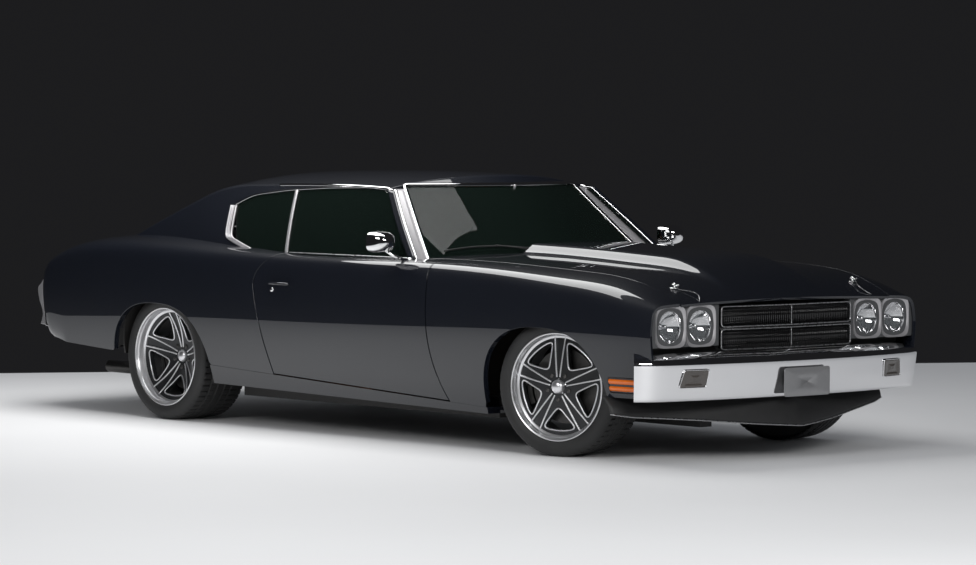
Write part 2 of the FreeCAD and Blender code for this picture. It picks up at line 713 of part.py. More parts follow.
rocker_foot = side_below(x_rear_axle, rocker_low(x_rear_axle), x_front_axle, rocker_low(x_front_axle))
rocker = largest(cut_all(rocker, rocker_foot, arch_front, arch_rear))
feature("rockers", both_sides(rocker))

# Cabin: roof, pillars and glass

CABIN_LOW_SHARE = 0.8
CABIN_HIGH_SHARE = 1.1
ROOF_REAR_SHARE = -0.80
ROOF_FRONT_SHARE = 0.40
CABIN_DEPTH_SHARE = 0.45
CABIN_LENGTH_SHARE = 1.3
FRONT_LEAN_GAIN = 1.5
SCREEN_LOW_SHARE = 0.672
SCREEN_HIGH_SHARE = 0.545
SCREEN_TOP_SHARE = 0.955
SCREEN_DEPTH_SHARE = 0.05
WINDOW_FRONT_SHARE = 0.262
WINDOW_FOOT_SHARE = 0.29
WINDOW_REAR_SHARE = -0.20
WINDOW_SHARES = (
    (0.128, 0.934), (0.07, 0.942), (-0.05, 0.938), (-0.17, 0.925), (-0.275, 0.902), (-0.325, 0.862), (-0.302, 0.735)
)
DIVIDER_SHARE = -0.11
BACK_WINDOW_SHARES = ((-0.675, -0.56), (-0.675, 0.56), (-0.44, 0.50), (-0.44, -0.50))
BACK_LOW_SHARE = 0.9

z_cabin = CABIN_LOW_SHARE * S.belt_height
z_cabin_top = CABIN_HIGH_SHARE * S.roof_height
cabin_places = spread(ROOF_REAR_SHARE * half_length, ROOF_FRONT_SHARE * half_length, SIDE_ROWS)
roof_rows = [[roof_point(x, y) for y in spread(-half_width, half_width, SIDE_COLUMNS)] for x in cabin_places]
roof_body = slab(roof_rows, Vector(0, 0, -CABIN_DEPTH_SHARE * S.roof_height))
screen_rows = []
for y in spread(-half_width, half_width, SIDE_COLUMNS):
    screen_rows.append([windshield_point(y, z) for z in spread(z_cabin, z_cabin_top, 4)])
screen_body = slab(screen_rows, Vector(-CABIN_LENGTH_SHARE * half_length, 0, 0))
cabin_rows = []
for x in cabin_places:
    cabin_rows.append([cabin_side_point(x, z) for z in spread(z_cabin, z_cabin_top, 5)])
cabin_half = slab(cabin_rows, Vector(0, -2 * half_width, 0))


def cabin_solid(push_side, push_top, push_front):
    """The cabin as one solid, set in by the given wall thicknesses."""
    half = cabin_half.translated(Vector(0, -push_side, 0))
    front = screen_body.translated(Vector(-push_front, 0, 0))
    return half.common(mirrored(half)).common(front).common(roof_body.translated(Vector(0, 0, -push_top)))


cabin_tall = cabin_solid(0.0, 0.0, 0.0)
cabin = cabin_tall.cut(box(-half_length, half_length, -half_width, half_width, 0, S.belt_height))
pillar = S.pillar_thickness
cabin_shell = cabin.cut(cabin_solid(pillar, pillar, FRONT_LEAN_GAIN * pillar))
cabin_inner = cabin_solid(S.glass, S.glass, FRONT_LEAN_GAIN * S.glass)
glass_shell = cabin.cut(cabin_inner)

y_low = SCREEN_LOW_SHARE * half_width
y_high = SCREEN_HIGH_SHARE * half_width
z_low = S.belt_height - S.overrun
z_high = SCREEN_TOP_SHARE * S.roof_height
x_screen = SCREEN_DEPTH_SHARE * half_length
screen_corners = [(-y_low, z_low), (y_low, z_low), (y_high, z_high), (-y_high, z_high)]
screen_tool = prism([Vector(x_screen, y, z) for y, z in screen_corners], Vector(half_length, 0, 0))
window_outline = [(WINDOW_FOOT_SHARE * half_length, z_low), (WINDOW_FRONT_SHARE * half_length, S.belt_height)]
window_outline += [(x * half_length, z * S.roof_height) for x, z in WINDOW_SHARES]
window_outline += [(WINDOW_REAR_SHARE * half_length, S.belt_height), (WINDOW_REAR_SHARE * half_length, z_low)]
side_tool = side_prism(window_outline, z_under, half_width)
back_plan = [(x * half_length, y * half_width) for x, y in BACK_WINDOW_SHARES]
back_tool = plan_prism(back_plan, BACK_LOW_SHARE * S.belt_height, z_sky)

roof = cut_all(cabin_shell, screen_tool, side_tool, mirrored(side_tool), back_tool)
roof = cut_all(roof, quarter, mirrored(quarter), door_room, mirrored(door_room))
roof = largest(roof.cut(plan_prism(deck_plan, 0, z_sky)))
feature("roof", roof)
windshield = glass_shell.common(screen_tool)
feature("windshield", windshield)
feature("back_glass", glass_shell.common(back_tool))
side_glass = cabin_tall.cut(cabin_inner).common(side_tool)
x_divider = DIVIDER_SHARE * half_length
inset_tool = side_prism(inset(window_outline, S.panel_gap), 0, half_width)
step = S.panel_gap
x_corner = x_door_rear + DOOR_CORNER_SHARE * S.door_length + step
glass_slab = slab(cabin_rows, Vector(0, -S.glass, 0))
door_glass = glass_slab.common(inset_tool).common(box(x_divider + step, half_length, 0, half_width, 0, z_sky))
door_glass = door_glass.cut(box(-half_length, x_corner, 0, half_width, 0, S.belt_height + 4 * step))
door_glass = largest(door_glass.cut(door_left))
feature("door_glass_left", door_glass)
feature("door_glass_right", mirrored(door_glass))
quarter_glass = side_glass.common(box(-half_length, x_divider, 0, half_width, S.belt_height, z_sky))
quarter_glass = largest(cut_all(quarter_glass, quarter, door_room))
feature("quarter_glass", both_sides(quarter_glass))

# Lookups for bound sizes

X_FRONT = "(Sizes.body_length / 2 - Sizes.front_overhang)"
X_REAR = "(Sizes.body_length / 2 - Sizes.front_overhang - Sizes.wheelbase)"
TURN = "Sizes.steer_rest_angle * 1 deg"


probe = doc.addObject("App::FeaturePython", "Probe")
probe.addProperty("App::PropertyFloat", "Value")


def keep(item, name):
    item.Label = name
    nodes.append(item)
    return item


def put(item, x, y, z, angle=None):
    """Bind an item's place, and its turn about the vertical."""
    item.Placement = Placement(Vector(0, 0, 0), Rotation(Vector(0, 0, 1), 0))
    item.setExpression("Placement.Base.x", x)
    item.setExpression("Placement.Base.y", y)
    item.setExpression("Placement.Base.z", z)
    if angle is not None:
        item.setExpression("Placement.Rotation.Angle", angle)


def plane_of(body, role):
    return next(item for item in body.Origin.OriginFeatures if item.Role == role)


def outline_sketch(body, name, role, corners):
    """Closed sketch whose corners are bound, across and up, to expressions."""
    sketch = body.newObject("Sketcher::SketchObject", name)
    sketch.AttachmentSupport = [(plane_of(body, role), "")]
    sketch.MapMode = "FlatFace"
    count = len(corners)
    spots = [Vector(doc_value(across), doc_value(up), 0) for across, up in corners]
    for i in range(count):
        sketch.addGeometry(Part.LineSegment(spots[i], spots[(i + 1) % count]), False)
    for i in range(count):
        sketch.addConstraint(Sketcher.Constraint("Coincident", i, 2, (i + 1) % count, 1))
    for i, (across, up) in enumerate(corners):
        for kind, text in (("DistanceX", across), ("DistanceY", up)):
            spot = sketch.addConstraint(Sketcher.Constraint(kind, -1, 1, i, 1, doc_value(text)))
            sketch.setExpression("Constraints[%d]" % spot, text)
    return sketch


def doc_value(text):
    """Value of an expression over the sheet."""
    probe.setExpression("Value", text)
    probe.recompute()
    return float(probe.Value)


def revolved(name, corners):
    """Body turned about the axle (Y): corners are radius and place along the axle."""
    body = doc.addObject("PartDesign::Body", name)
    sketch = outline_sketch(body, name + "_outline", "XY_Plane", corners)
    turn = body.newObject("PartDesign::Revolution", name + "_turn")
    turn.Profile = sketch
    turn.ReferenceAxis = (sketch, ["V_Axis"])
    turn.Angle = 360
    body.Tip = turn
    return body


def wheel_places(end):
    """Name, place and turn of the left and right wheel of an axle."""
    if end == "front":
        reach = "(Sizes.rim_face_front - Sizes.kingpin_offset)"
        return (
            ("left", X_FRONT + " - %s * sin(%s)" % (reach, TURN),
             "Sizes.kingpin_offset + %s * cos(%s)" % (reach, TURN), TURN),
            ("right", X_FRONT + " + %s * sin(%s)" % (reach, TURN),
             "-(Sizes.kingpin_offset + %s * cos(%s))" % (reach, TURN), TURN + " + 180 deg"),
        )
    return (
        ("left", X_REAR, "Sizes.rim_face_rear", "0 deg"),
        ("right", X_REAR, "-Sizes.rim_face_rear", "180 deg"),
    )


def tyre(end, side):
    outer = "Sizes.tyre_bulge"
    inner = "(Sizes.tyre_bulge - Sizes.tyre_width_%s)" % end
    seat = "(Sizes.rim_radius - Sizes.rim_lip)"
    bead_out = "-Sizes.rim_lip_width"
    bead_in = "(2 * Sizes.tyre_bulge - Sizes.tyre_width_%s + Sizes.rim_lip_width)" % end
    wall = "(Sizes.rim_radius + Sizes.rim_lip)"
    corners = [
        (seat, bead_out),
        ("Sizes.rim_radius", bead_out),
        (wall, outer),
        ("(Sizes.tyre_radius - 1.6 * Sizes.tyre_shoulder)", outer),
        ("(Sizes.tyre_radius - 0.4 * Sizes.tyre_shoulder)", outer + " - 0.5 * Sizes.tyre_shoulder"),
        ("Sizes.tyre_radius", outer + " - 1.3 * Sizes.tyre_shoulder"),
        ("Sizes.tyre_radius", inner + " + 1.3 * Sizes.tyre_shoulder"),
        ("(Sizes.tyre_radius - 0.4 * Sizes.tyre_shoulder)", inner + " + 0.5 * Sizes.tyre_shoulder"),
        ("(Sizes.tyre_radius - 1.6 * Sizes.tyre_shoulder)", inner),
        (wall, inner),
        ("Sizes.rim_radius", bead_in),
        (seat, bead_in),
    ]
    return revolved("tyre_%s_%s" % (end, side), corners)


def rim(end, side):
    """Barrel with two lips, and a disc with five windows."""
    name = "rim_%s_%s" % (end, side)
    inner = "(2 * Sizes.tyre_bulge - Sizes.tyre_width_%s)" % end
    face = "(-Sizes.spoke_depth_%s)" % end
    back = "(-Sizes.spoke_depth_%s - Sizes.spoke_thickness)" % end
    seat = "(Sizes.rim_radius - Sizes.rim_lip)"
    bore = "(Sizes.rim_radius - Sizes.rim_lip - Sizes.rim_wall)"
    corners = [
        ("0.001 mm", face + " + Sizes.cap_height"),
        ("Sizes.cap_radius", face + " + Sizes.cap_height"),
        ("Sizes.cap_radius", face),
        (bore, face + " + Sizes.rim_wall"),
        (bore, "0 mm"),
        ("Sizes.rim_radius", "0 mm"),
        ("Sizes.rim_radius", "-Sizes.rim_lip_width"),
        (seat, "-Sizes.rim_lip_width"),
        (seat, inner + " + Sizes.rim_lip_width"),
        ("Sizes.rim_radius", inner + " + Sizes.rim_lip_width"),
        ("Sizes.rim_radius", inner),
        (bore, inner),
        (bore, back),
        ("0.001 mm", back),
    ]
    body = revolved(name, corners)
    window = [
        ("-0.16 * Sizes.rim_radius", "-0.80 * Sizes.rim_radius"),
        ("0.16 * Sizes.rim_radius", "-0.80 * Sizes.rim_radius"),
        ("0.38 * Sizes.rim_radius", "-0.70 * Sizes.rim_radius"),
        ("0.06 * Sizes.rim_radius", "-1.25 * Sizes.hub_radius"),
        ("-0.06 * Sizes.rim_radius", "-1.25 * Sizes.hub_radius"),
        ("-0.38 * Sizes.rim_radius", "-0.70 * Sizes.rim_radius"),
    ]
    sketch = outline_sketch(body, name + "_window", "XZ_Plane", window)
    doc.recompute()
    pocket = body.newObject("PartDesign::Pocket", name + "_pocket")
    pocket.Profile = sketch
    pocket.Type = 1
    pocket.Midplane = True
    doc.recompute()
    pattern = body.newObject("PartDesign::PolarPattern", name + "_pattern")
    pattern.Originals = [pocket]
    pattern.Axis = (plane_of(body, "Y_Axis"), [""])
    pattern.Angle = 360
    pattern.Occurrences = 5
    body.Tip = pattern
    return body


def brake_disc(end, side):
    """Rotor, its hat against the wheel, and the stub that turns in the carrier."""
    top = "(-Sizes.spoke_depth_%s - Sizes.spoke_thickness)" % end
    out = "(%s - Sizes.running_gap)" % top
    back = "(%s - Sizes.disc_thickness)" % out
    hub = "Sizes.hub_radius"
    corners = [
        ("0.001 mm", top),
        (hub, top),
        (hub, out),
        ("Sizes.disc_radius", out),
        ("Sizes.disc_radius", back),
        ("Sizes.axle_radius", back),
        ("Sizes.axle_radius", "(%s - Sizes.running_gap - Sizes.knuckle_length)" % back),
        ("0.001 mm", "(%s - Sizes.running_gap - Sizes.knuckle_length)" % back),
    ]
    return revolved("brake_disc_%s_%s" % (end, side), corners)


for end in ("front", "rear"):
    for side, x, y, turn in wheel_places(end):
        for make in (tyre, rim, brake_disc):
            body = make(end, side)
            keep(body, body.Name)
            put(body, x, y, "Sizes.tyre_radius", turn)

# Knuckles: bearing carrier, steering pivot and brake caliper

DISC_BACK_FRONT = S.spoke_depth_front + S.spoke_thickness + S.running_gap + S.disc_thickness
DISC_BACK_REAR = S.spoke_depth_rear + S.spoke_thickness + S.running_gap + S.disc_thickness


def caliper(rotor_front):
    """Brake caliper astride the disc, behind the axle, in wheel axes."""
    low = rotor_front + S.disc_thickness + S.running_gap + S.caliper_wall
    high = rotor_front - S.running_gap / 2
    start = Vector(0, -low, 0)
    ring = Part.makeCylinder(S.caliper_reach, low - high, start, Vector(0, 1, 0))
    ring = ring.cut(Part.makeCylinder(S.caliper_inner, low - high, start, Vector(0, 1, 0)))
    slot_start = Vector(0, -rotor_front - S.disc_thickness - S.running_gap, 0)
    slot_length = S.disc_thickness + 2 * S.running_gap
    slot = Part.makeCylinder(S.disc_radius + S.running_gap, slot_length, slot_start, Vector(0, 1, 0))
    reach = 2 * S.caliper_reach
    corners = [(0, 0), (-reach, -S.caliper_reach), (-reach, S.caliper_reach)]
    wedge = side_prism(corners, -low - S.overrun, S.overrun)
    return ring.cut(slot).common(wedge)


def caliper_arm(low):
    """Lug that ties the caliper to the bearing carrier."""
    reach = S.caliper_inner + S.caliper_wall
    return box(-reach, 0, -low - S.caliper_wall, -low, -S.axle_radius, S.axle_radius)


def knuckle(side):
    """Bearing carrier on the steering pivot, with its brake caliper."""
    carrier_start = Vector(0, -DISC_BACK_FRONT - S.running_gap - S.knuckle_length, 0)
    carrier_end = Vector(0, -DISC_BACK_FRONT - S.running_gap, 0)
    pivot = Vector(0, S.kingpin_offset - S.rim_face_front, 0)
    half_pin = Vector(0, 0, S.kingpin_half)
    rotor_front = S.spoke_depth_front + S.spoke_thickness + S.running_gap
    shape = rod(carrier_start, carrier_end, S.knuckle_radius).fuse(
        [
            rod(pivot - half_pin, pivot + half_pin, S.kingpin_radius),
            caliper(rotor_front),
            caliper_arm(rotor_front + S.disc_thickness + S.running_gap),
        ]
    )
    shape = shape.cut(rod(carrier_start, carrier_end, S.axle_radius + S.pin_clearance)).translated(-pivot)
    if side == "right":
        shape = mirrored(shape)
    shape.rotate(Vector(0, 0, 0), Vector(0, 0, 1), S.steer_rest_angle)
    across = -S.kingpin_offset if side == "right" else S.kingpin_offset
    return shape.translated(Vector(x_front_axle, across, S.tyre_radius))


feature("knuckle_left", knuckle("left"))
feature("knuckle_right", knuckle("right"))

# Suspension arms


def arm(z, y_inner):
    """Suspension arm from the frame to its eye on the steering pivot."""
    centre = Vector(x_front_axle, S.kingpin_offset, z)
    eye = Part.makeCylinder(S.kingpin_radius + S.arm_thickness / 2, S.arm_thickness, centre)
    beam = box(
        x_front_axle - S.arm_width / 2, x_front_axle + S.arm_width / 2, y_inner, S.kingpin_offset,
        z, z + S.arm_thickness,
    )
    hole = Part.makeCylinder(S.kingpin_radius + S.pin_clearance, S.arm_thickness, centre)
    return beam.fuse(eye).cut(hole)


half_rail = S.rail_width / 2
pin_low = S.tyre_radius - S.kingpin_half
pin_high = S.tyre_radius + S.kingpin_half - S.arm_thickness
y_front_rail = S.frame_narrow + half_rail
y_arm = y_front_rail + S.joint_gap
feature("control_arms", both_sides(Part.makeCompound([arm(pin_low, y_arm), arm(pin_high, y_arm)])))

# Frame

FRAME_REAR_SHARE = 0.88
FRAME_FRONT_SHARE = 0.35
z_frame = S.frame_low
z_frame_top = S.frame_low + S.rail_height
z_rear_rail = S.rear_rail_low
z_deck_floor = S.rear_rail_low + S.rail_height
x_wide_front = x_front_axle - S.arch_half_length - S.overrun
x_wide_rear = x_rear_axle + S.arch_half_length + S.overrun
x_frame_front = half_length - FRAME_FRONT_SHARE * S.front_overhang
x_frame_rear = -FRAME_REAR_SHARE * half_length
wide_y = S.frame_side
rear_y = S.rear_rail_side
bend = 2 * S.rail_width
x_kick = x_wide_rear - bend / 2
rail_outline = [
    (x_frame_front, S.frame_narrow - half_rail),
    (x_frame_front, y_front_rail),
    (x_wide_front + bend, y_front_rail),
    (x_wide_front, wide_y + half_rail),
    (x_wide_rear, wide_y + half_rail),
    (x_kick, rear_y + half_rail),
    (x_kick - bend, rear_y + half_rail),
    (x_kick - bend, rear_y - half_rail),
    (x_kick + half_rail, rear_y - half_rail),
    (x_wide_rear + half_rail, wide_y - half_rail),
    (x_wide_front - half_rail, wide_y - half_rail),
    (x_wide_front + bend / 2, S.frame_narrow - half_rail),
]
kick_outline = [
    (x_kick, z_frame),
    (x_kick, z_frame_top),
    (x_kick - bend, z_deck_floor),
    (x_rear_axle - bend, z_deck_floor),
    (x_frame_rear, z_rear_rail),
    (x_frame_rear, z_rear_rail - S.rail_height),
    (x_rear_axle - bend, z_rear_rail),
    (x_kick - bend, z_rear_rail),
    (x_kick - bend / 2, z_frame),
]
arm_reach = S.arm_width
half_frame = plan_prism(rail_outline, z_frame, z_frame_top).fuse(
    [
        side_prism(kick_outline, rear_y - half_rail, rear_y + half_rail),
        box(
            x_front_axle - S.rail_height, x_front_axle + S.rail_height, 0, S.frame_narrow, z_frame, z_frame_top,
        ),
        box(0, S.rail_height, 0, wide_y, z_frame, z_frame + S.rail_height / 2),
        box(x_frame_rear, x_frame_rear + S.rail_width, 0, rear_y, z_rear_rail - S.rail_height, z_rear_rail),
        box(
            x_front_axle - arm_reach, x_front_axle + arm_reach, y_front_rail - S.rail_width, y_front_rail,
            z_frame_top, pin_high + S.arm_thickness,
        ),
    ]
)
frame = half_frame.fuse(mirrored(half_frame)).removeSplitter()
feature("frame", frame)

# Wheel wells

x_toe = x_door_front + S.door_toe
well_radius = S.tyre_radius + S.wheel_room
y_well = S.rim_face_rear + S.tyre_bulge - S.tyre_width_rear - S.wheel_room / 2
well_centre = Vector(x_rear_axle, y_well, S.tyre_radius)
well_room = Part.makeCylinder(well_radius, y_out - y_well, well_centre, Vector(0, 1, 0))
well_wall = Part.makeCylinder(
    well_radius + S.skin, y_out - y_well + S.skin, well_centre - Vector(0, S.skin, 0), Vector(0, 1, 0)
)
tube_room = 2 * S.axle_tube_radius
rear_well = cut_all(
    well_wall, well_room,
    box(x_rear_axle - half_length, x_rear_axle + half_length, 0, y_out, -S.overrun, S.tyre_radius),
    box(x_rear_axle - tube_room, x_rear_axle + tube_room, 0, y_out, 0, S.tyre_radius + tube_room),
)
rear_well = largest(rear_well.common(left_half).cut(quarter_room))
feature("rear_wheelhouses", both_sides(rear_well))
x_lamp = half_length - S.lamp_setback
core_wall = 2 * S.grille_bar
x_core = x_lamp - S.lamp_depth - core_wall
z_apron = 2 * (S.tyre_radius + S.wheel_room)
x_apron = x_wide_front + bend
apron = box(x_apron, x_core, y_front_rail - S.skin, y_front_rail, z_frame_top, z_apron)
apron = apron.fuse(box(x_apron, x_core, y_front_rail - S.skin, y_out, z_apron, z_apron + S.skin))
apron = largest(cut_all(apron.common(left_half), fender, frame, hood_room))
feature("front_wheelhouses", both_sides(apron))

# Floor, firewall and trunk floor

FIREWALL_SHARE = 0.92
sheet_wall = S.floor_thickness
z_floor = z_frame_top
z_seat = z_floor + sheet_wall
z_tunnel = z_floor + S.tunnel_height
x_heel = x_kick - bend
y_floor = S.frame_side + half_rail
y_riser = y_well - S.skin - S.joint_gap
y_tunnel = S.tunnel_half_width
floor = box(x_heel, x_toe, -y_floor, y_floor, z_floor, z_seat).fuse(
    [
        box(x_heel, x_heel + sheet_wall, -y_riser, y_riser, z_floor, z_deck_floor + sheet_wall),
        box(x_frame_rear, x_heel + sheet_wall, -y_riser, y_riser, z_deck_floor, z_deck_floor + sheet_wall),
        box(x_heel, x_toe, -y_tunnel, y_tunnel, z_floor, z_tunnel),
        box(x_toe, x_toe + sheet_wall, -y_floor, y_floor, z_floor, FIREWALL_SHARE * S.belt_height),
    ]
)
tunnel_room = box(
    x_heel - S.overrun, x_toe + S.overrun, -y_tunnel + sheet_wall, y_tunnel - sheet_wall,
    z_floor - S.overrun, z_tunnel - sheet_wall,
)
floor = cut_all(floor.removeSplitter(), tunnel_room, well_room, mirrored(well_room), frame, hood_room)
feature("floor", largest(floor))

# Cowl with the posts that carry the windshield pillars

COWL_REACH_SHARE = 0.74
COWL_DEPTH_SHARE = 0.07
COWL_LOW_SHARE = 0.22
y_cowl = COWL_REACH_SHARE * half_width
cowl_edge = 5 * S.panel_gap
cowl_depth = COWL_DEPTH_SHARE * half_length
cowl_plan = [(hood_rear_line(y) + cowl_edge, y) for y in spread(-y_cowl, y_cowl, TOP_COLUMNS)]
cowl_plan += [(hood_rear_line(y) - cowl_depth, y) for y in spread(y_cowl, -y_cowl, TOP_COLUMNS)]
cowl = top_band(COWL_LOW_SHARE * half_length, x_toe, 0.0, -S.lid_skin - 2 * S.panel_gap, S.lid_skin)
cowl = cowl.common(plan_prism(cowl_plan, z_under, z_sky))
x_post = hood_rear_line(y_cowl) - cowl_depth
z_post = S.belt_height + S.panel_gap
posts = []
for side in (-1, 1):
    y_post = side * (y_cowl - S.rail_width / 2)
    y_end = side * SIDE_BASE_SHARE * half_width
    low, high = sorted((y_post, side * y_cowl))
    posts.append(box(x_post, x_post + S.rail_width, low, high, z_seat, z_post + S.floor_thickness))
    low, high = sorted((y_post, y_end))
    posts.append(box(x_post, x_post + S.rail_width, low, high, z_post, z_post + S.floor_thickness))
cowl = cut_all(cowl.fuse(posts), roof, windshield, door_room, mirrored(door_room))
for way in ((step, 0, 0), (0, step, 0), (0, -step, 0), (0, 0, -step)):
    moved = door_glass.translated(Vector(*way))
    cowl = cut_all(cowl, moved, mirrored(moved))
feature("cowl", largest(cowl))

# Engine, tank, driveline and exhaust


def plain_block(name, length, width, height, x, z):
    item = doc.addObject("Part::Box", name)
    item.setExpression("Length", length)
    item.setExpression("Width", width)
    item.setExpression("Height", height)
    put(item, x, "-%s / 2" % width, z)
    keep(item, name)


plain_block(
    "engine", "Sizes.engine_length", "Sizes.engine_width", "Sizes.engine_height",
    X_FRONT + " - Sizes.engine_setback", "Sizes.frame_low + Sizes.rail_height",
)
plain_block(
    "fuel_tank", "Sizes.tank_length", "Sizes.tank_width", "Sizes.tank_height",
    X_REAR + " - Sizes.tank_setback", "Sizes.rear_rail_low + Sizes.rail_height - Sizes.tank_height",
)
carrier_end = S.rim_face_rear - DISC_BACK_REAR - S.running_gap
axle_start = Vector(x_rear_axle, 0, S.tyre_radius)
hub_start = Vector(x_rear_axle, carrier_end - S.knuckle_length, S.tyre_radius)
hub_end = Vector(x_rear_axle, carrier_end, S.tyre_radius)
rotor_rear = S.spoke_depth_rear + S.spoke_thickness + S.running_gap
rear_low = rotor_rear + S.disc_thickness + S.running_gap
rear_clamp = caliper(rotor_rear).fuse(caliper_arm(rear_low))
rear_clamp.translate(Vector(x_rear_axle, S.rim_face_rear, S.tyre_radius))
half_axle = rod(axle_start, hub_end, S.axle_tube_radius)
half_axle = half_axle.fuse([rod(hub_start, hub_end, S.knuckle_radius), rear_clamp])
half_axle = half_axle.cut(rod(hub_start, hub_end, S.axle_radius + S.pin_clearance))
rear_link = box(
    x_rear_axle, x_rear_axle + S.arm_width, rear_y - S.arm_width / 2, rear_y + S.arm_width / 2,
    S.tyre_radius, S.rear_rail_low,
)
x_gearbox = x_front_axle - S.engine_setback
shaft = rod(axle_start, Vector(x_gearbox, 0, S.tyre_radius), S.shaft_radius)
rear_axle = Part.makeSphere(S.diff_radius, axle_start).fuse(
    [half_axle, mirrored(half_axle), shaft, rear_link, mirrored(rear_link)]
)
feature("rear_axle", rear_axle.removeSplitter())


def lengthwise(x_low, x_high, radius):
    return rod(Vector(x_low, S.pipe_side, S.pipe_height), Vector(x_high, S.pipe_side, S.pipe_height), radius)


exhaust = lengthwise(x_deck_rear, x_gearbox, S.pipe_radius)
exhaust = exhaust.fuse(lengthwise(-S.muffler_length, 0, S.muffler_radius))
feature("exhaust", both_sides(exhaust.cut(frame)))

# Headlamps, grille and radiator support

CORE_REACH_SHARE = 0.87
CORE_LOW_SHARE = 0.44
CORE_WINDOW_SHARE = 0.9


def lamp_places():
    return (S.lamp_outer_place, S.lamp_inner_place)


def forward_rod(x_low, x_high, y, z, radius):
    return rod(Vector(x_low, y, z), Vector(x_high, y, z), radius)


lamps = [forward_rod(x_lamp - S.lamp_depth, x_lamp, y, S.lamp_height, S.lamp_radius) for y in lamp_places()]
feature("headlamps", Part.makeCompound(lamps + [mirrored(lamp) for lamp in lamps]))
x_bezel = x_lamp - S.bezel_thickness
bezel = box(
    x_bezel, x_nose - S.bezel_thickness / 2, S.grille_half_width + S.joint_gap, half_width,
    S.bezel_low, S.bezel_high,
)
bezel = bezel.common(left_half)
for y in lamp_places():
    bezel = bezel.cut(forward_rod(x_bezel, half_length, y, S.lamp_height, S.lamp_radius + S.joint_gap))
bezel = largest(cut_all(bezel, fender, hood_room))
feature("headlamp_bezels", both_sides(bezel))
x_grille = x_lamp + S.bezel_thickness
bar = S.grille_bar
z_mid = 0.5 * (S.grille_low + S.grille_high)
grille = box(
    x_core + core_wall, x_grille, -S.grille_half_width, S.grille_half_width, S.grille_low, S.grille_high
)
for z_low, z_high in ((S.grille_low + bar, z_mid - bar / 2), (z_mid + bar / 2, S.grille_high - bar)):
    y_side = S.grille_half_width - bar
    grille = grille.cut(box(x_grille - S.grille_depth, x_grille, -y_side, y_side, z_low, z_high))
feature("grille", grille.cut(hood_room))
y_core = CORE_REACH_SHARE * half_width
core = box(x_core, x_core + core_wall, -y_core, y_core, CORE_LOW_SHARE * S.belt_height, S.bezel_high)
y_side = CORE_WINDOW_SHARE * S.grille_half_width
core = core.cut(box(x_core, x_core + core_wall, -y_side, y_side, S.grille_low + bar, S.grille_high - bar))
core = cut_all(core, hood_room, fender, mirrored(fender), frame)
feature("radiator_support", largest(core))

# Bumpers, lamps on them, plate and chin spoiler

BUMPER_ROWS = 9
CORNER_ROWS = 4
CORNER_PULL_SHARE = 0.6
FACE_TUCK_SHARE = 2.0


def bumper_path(front_x, bow, corner_y, side_x, side_y):
    """Plan path across the car: a shallow bow, then a curve round to each side end."""
    half = [(front_x - bow * (y / corner_y) ** 2, y) for y in spread(0, corner_y, BUMPER_ROWS)]
    start = half[-1]
    pull = CORNER_PULL_SHARE * (side_y - corner_y)
    turn = (start[0] - 2 * bow * pull / corner_y, corner_y + pull)
    for i in range(1, CORNER_ROWS + 1):
        t = i / CORNER_ROWS
        x = (1 - t) ** 2 * start[0] + 2 * t * (1 - t) * turn[0] + t * t * side_x
        y = (1 - t) ** 2 * start[1] + 2 * t * (1 - t) * turn[1] + t * t * side_y
        half.append((x, y))
    return [(x, -y) for x, y in reversed(half[1:])] + half


def bar_loft(path, section_at, first=0, last=None):
    """Bar along a plan path: section_at(y) gives points of (inward depth, height)."""
    wires = []
    stop = len(path) if last is None else last + 1
    for i in range(first, stop):
        before = path[max(i - 1, 0)]
        after = path[min(i + 1, len(path) - 1)]
        long = math.hypot(after[0] - before[0], after[1] - before[1])
        nx = (after[1] - before[1]) / long
        ny = (before[0] - after[0]) / long
        x, y = path[i]
        corners = [Vector(x - depth * nx, y - depth * ny, z) for depth, z in section_at(y)]
        wires.append(Part.makePolygon(corners + [corners[0]]))
    return Part.makeLoft(wires, True, True)


wall = S.bumper_wall
tuck = FACE_TUCK_SHARE * wall
shelf = S.bumper_shelf
front_face = half_length - S.plate_stand - S.plate_thickness
front_path = bumper_path(
    front_face, S.bumper_bow, S.bumper_corner, half_length - S.bumper_return, S.bumper_side
)
middle = len(front_path) // 2


def front_section(y):
    return (
        (shelf, S.bumper_shelf_high),
        (0.0, S.bumper_high),
        (tuck, S.bumper_low),
        (2 * tuck, S.bumper_low),
        (2 * tuck, S.bumper_low + wall),
        (wall + tuck / 4, S.bumper_high - wall),
        (shelf, S.bumper_shelf_high - wall),
    )


front_bumper = bar_loft(front_path, front_section)
front_bumper = largest(cut_all(front_bumper, fender, mirrored(fender), bezel, mirrored(bezel)))
feature("front_bumper", front_bumper)


def face_depth(z):
    """Depth of the front bumper's face behind its upper edge."""
    return tuck * (S.bumper_high - z) / (S.bumper_high - S.bumper_low)


TURN_LAMP_LOW_SHARE = 0.45
turn_low = S.bumper_low + TURN_LAMP_LOW_SHARE * (S.bumper_high - S.bumper_low)
turn_high = turn_low + S.turn_lamp_height


def turn_section(y):
    return (
        (face_depth(turn_low) - S.joint_gap, turn_low),
        (face_depth(turn_high) - S.joint_gap, turn_high),
        (face_depth(turn_high) - S.lamp_proud, turn_high),
        (face_depth(turn_low) - S.lamp_proud, turn_low),
    )


turn_station = BUMPER_ROWS - 3
turn_lamp = bar_loft(front_path, turn_section, middle + turn_station, middle + turn_station + 1)
feature("turn_lamps", both_sides(turn_lamp))
rear_path = bumper_path(half_length, S.tail_bow, S.tail_corner, half_length - S.tail_return, S.tail_side)
low, high = S.rear_bumper_low, S.rear_bumper_high
z_crown = high - 3 * wall


def rear_section(y):
    return (
        (shelf, high),
        (wall, high),
        (0.0, z_crown),
        (wall, low),
        (shelf, low),
        (shelf, low + wall),
        (2 * wall, low + wall),
        (wall, z_crown),
        (2 * wall, high - wall),
        (shelf, high - wall),
    )


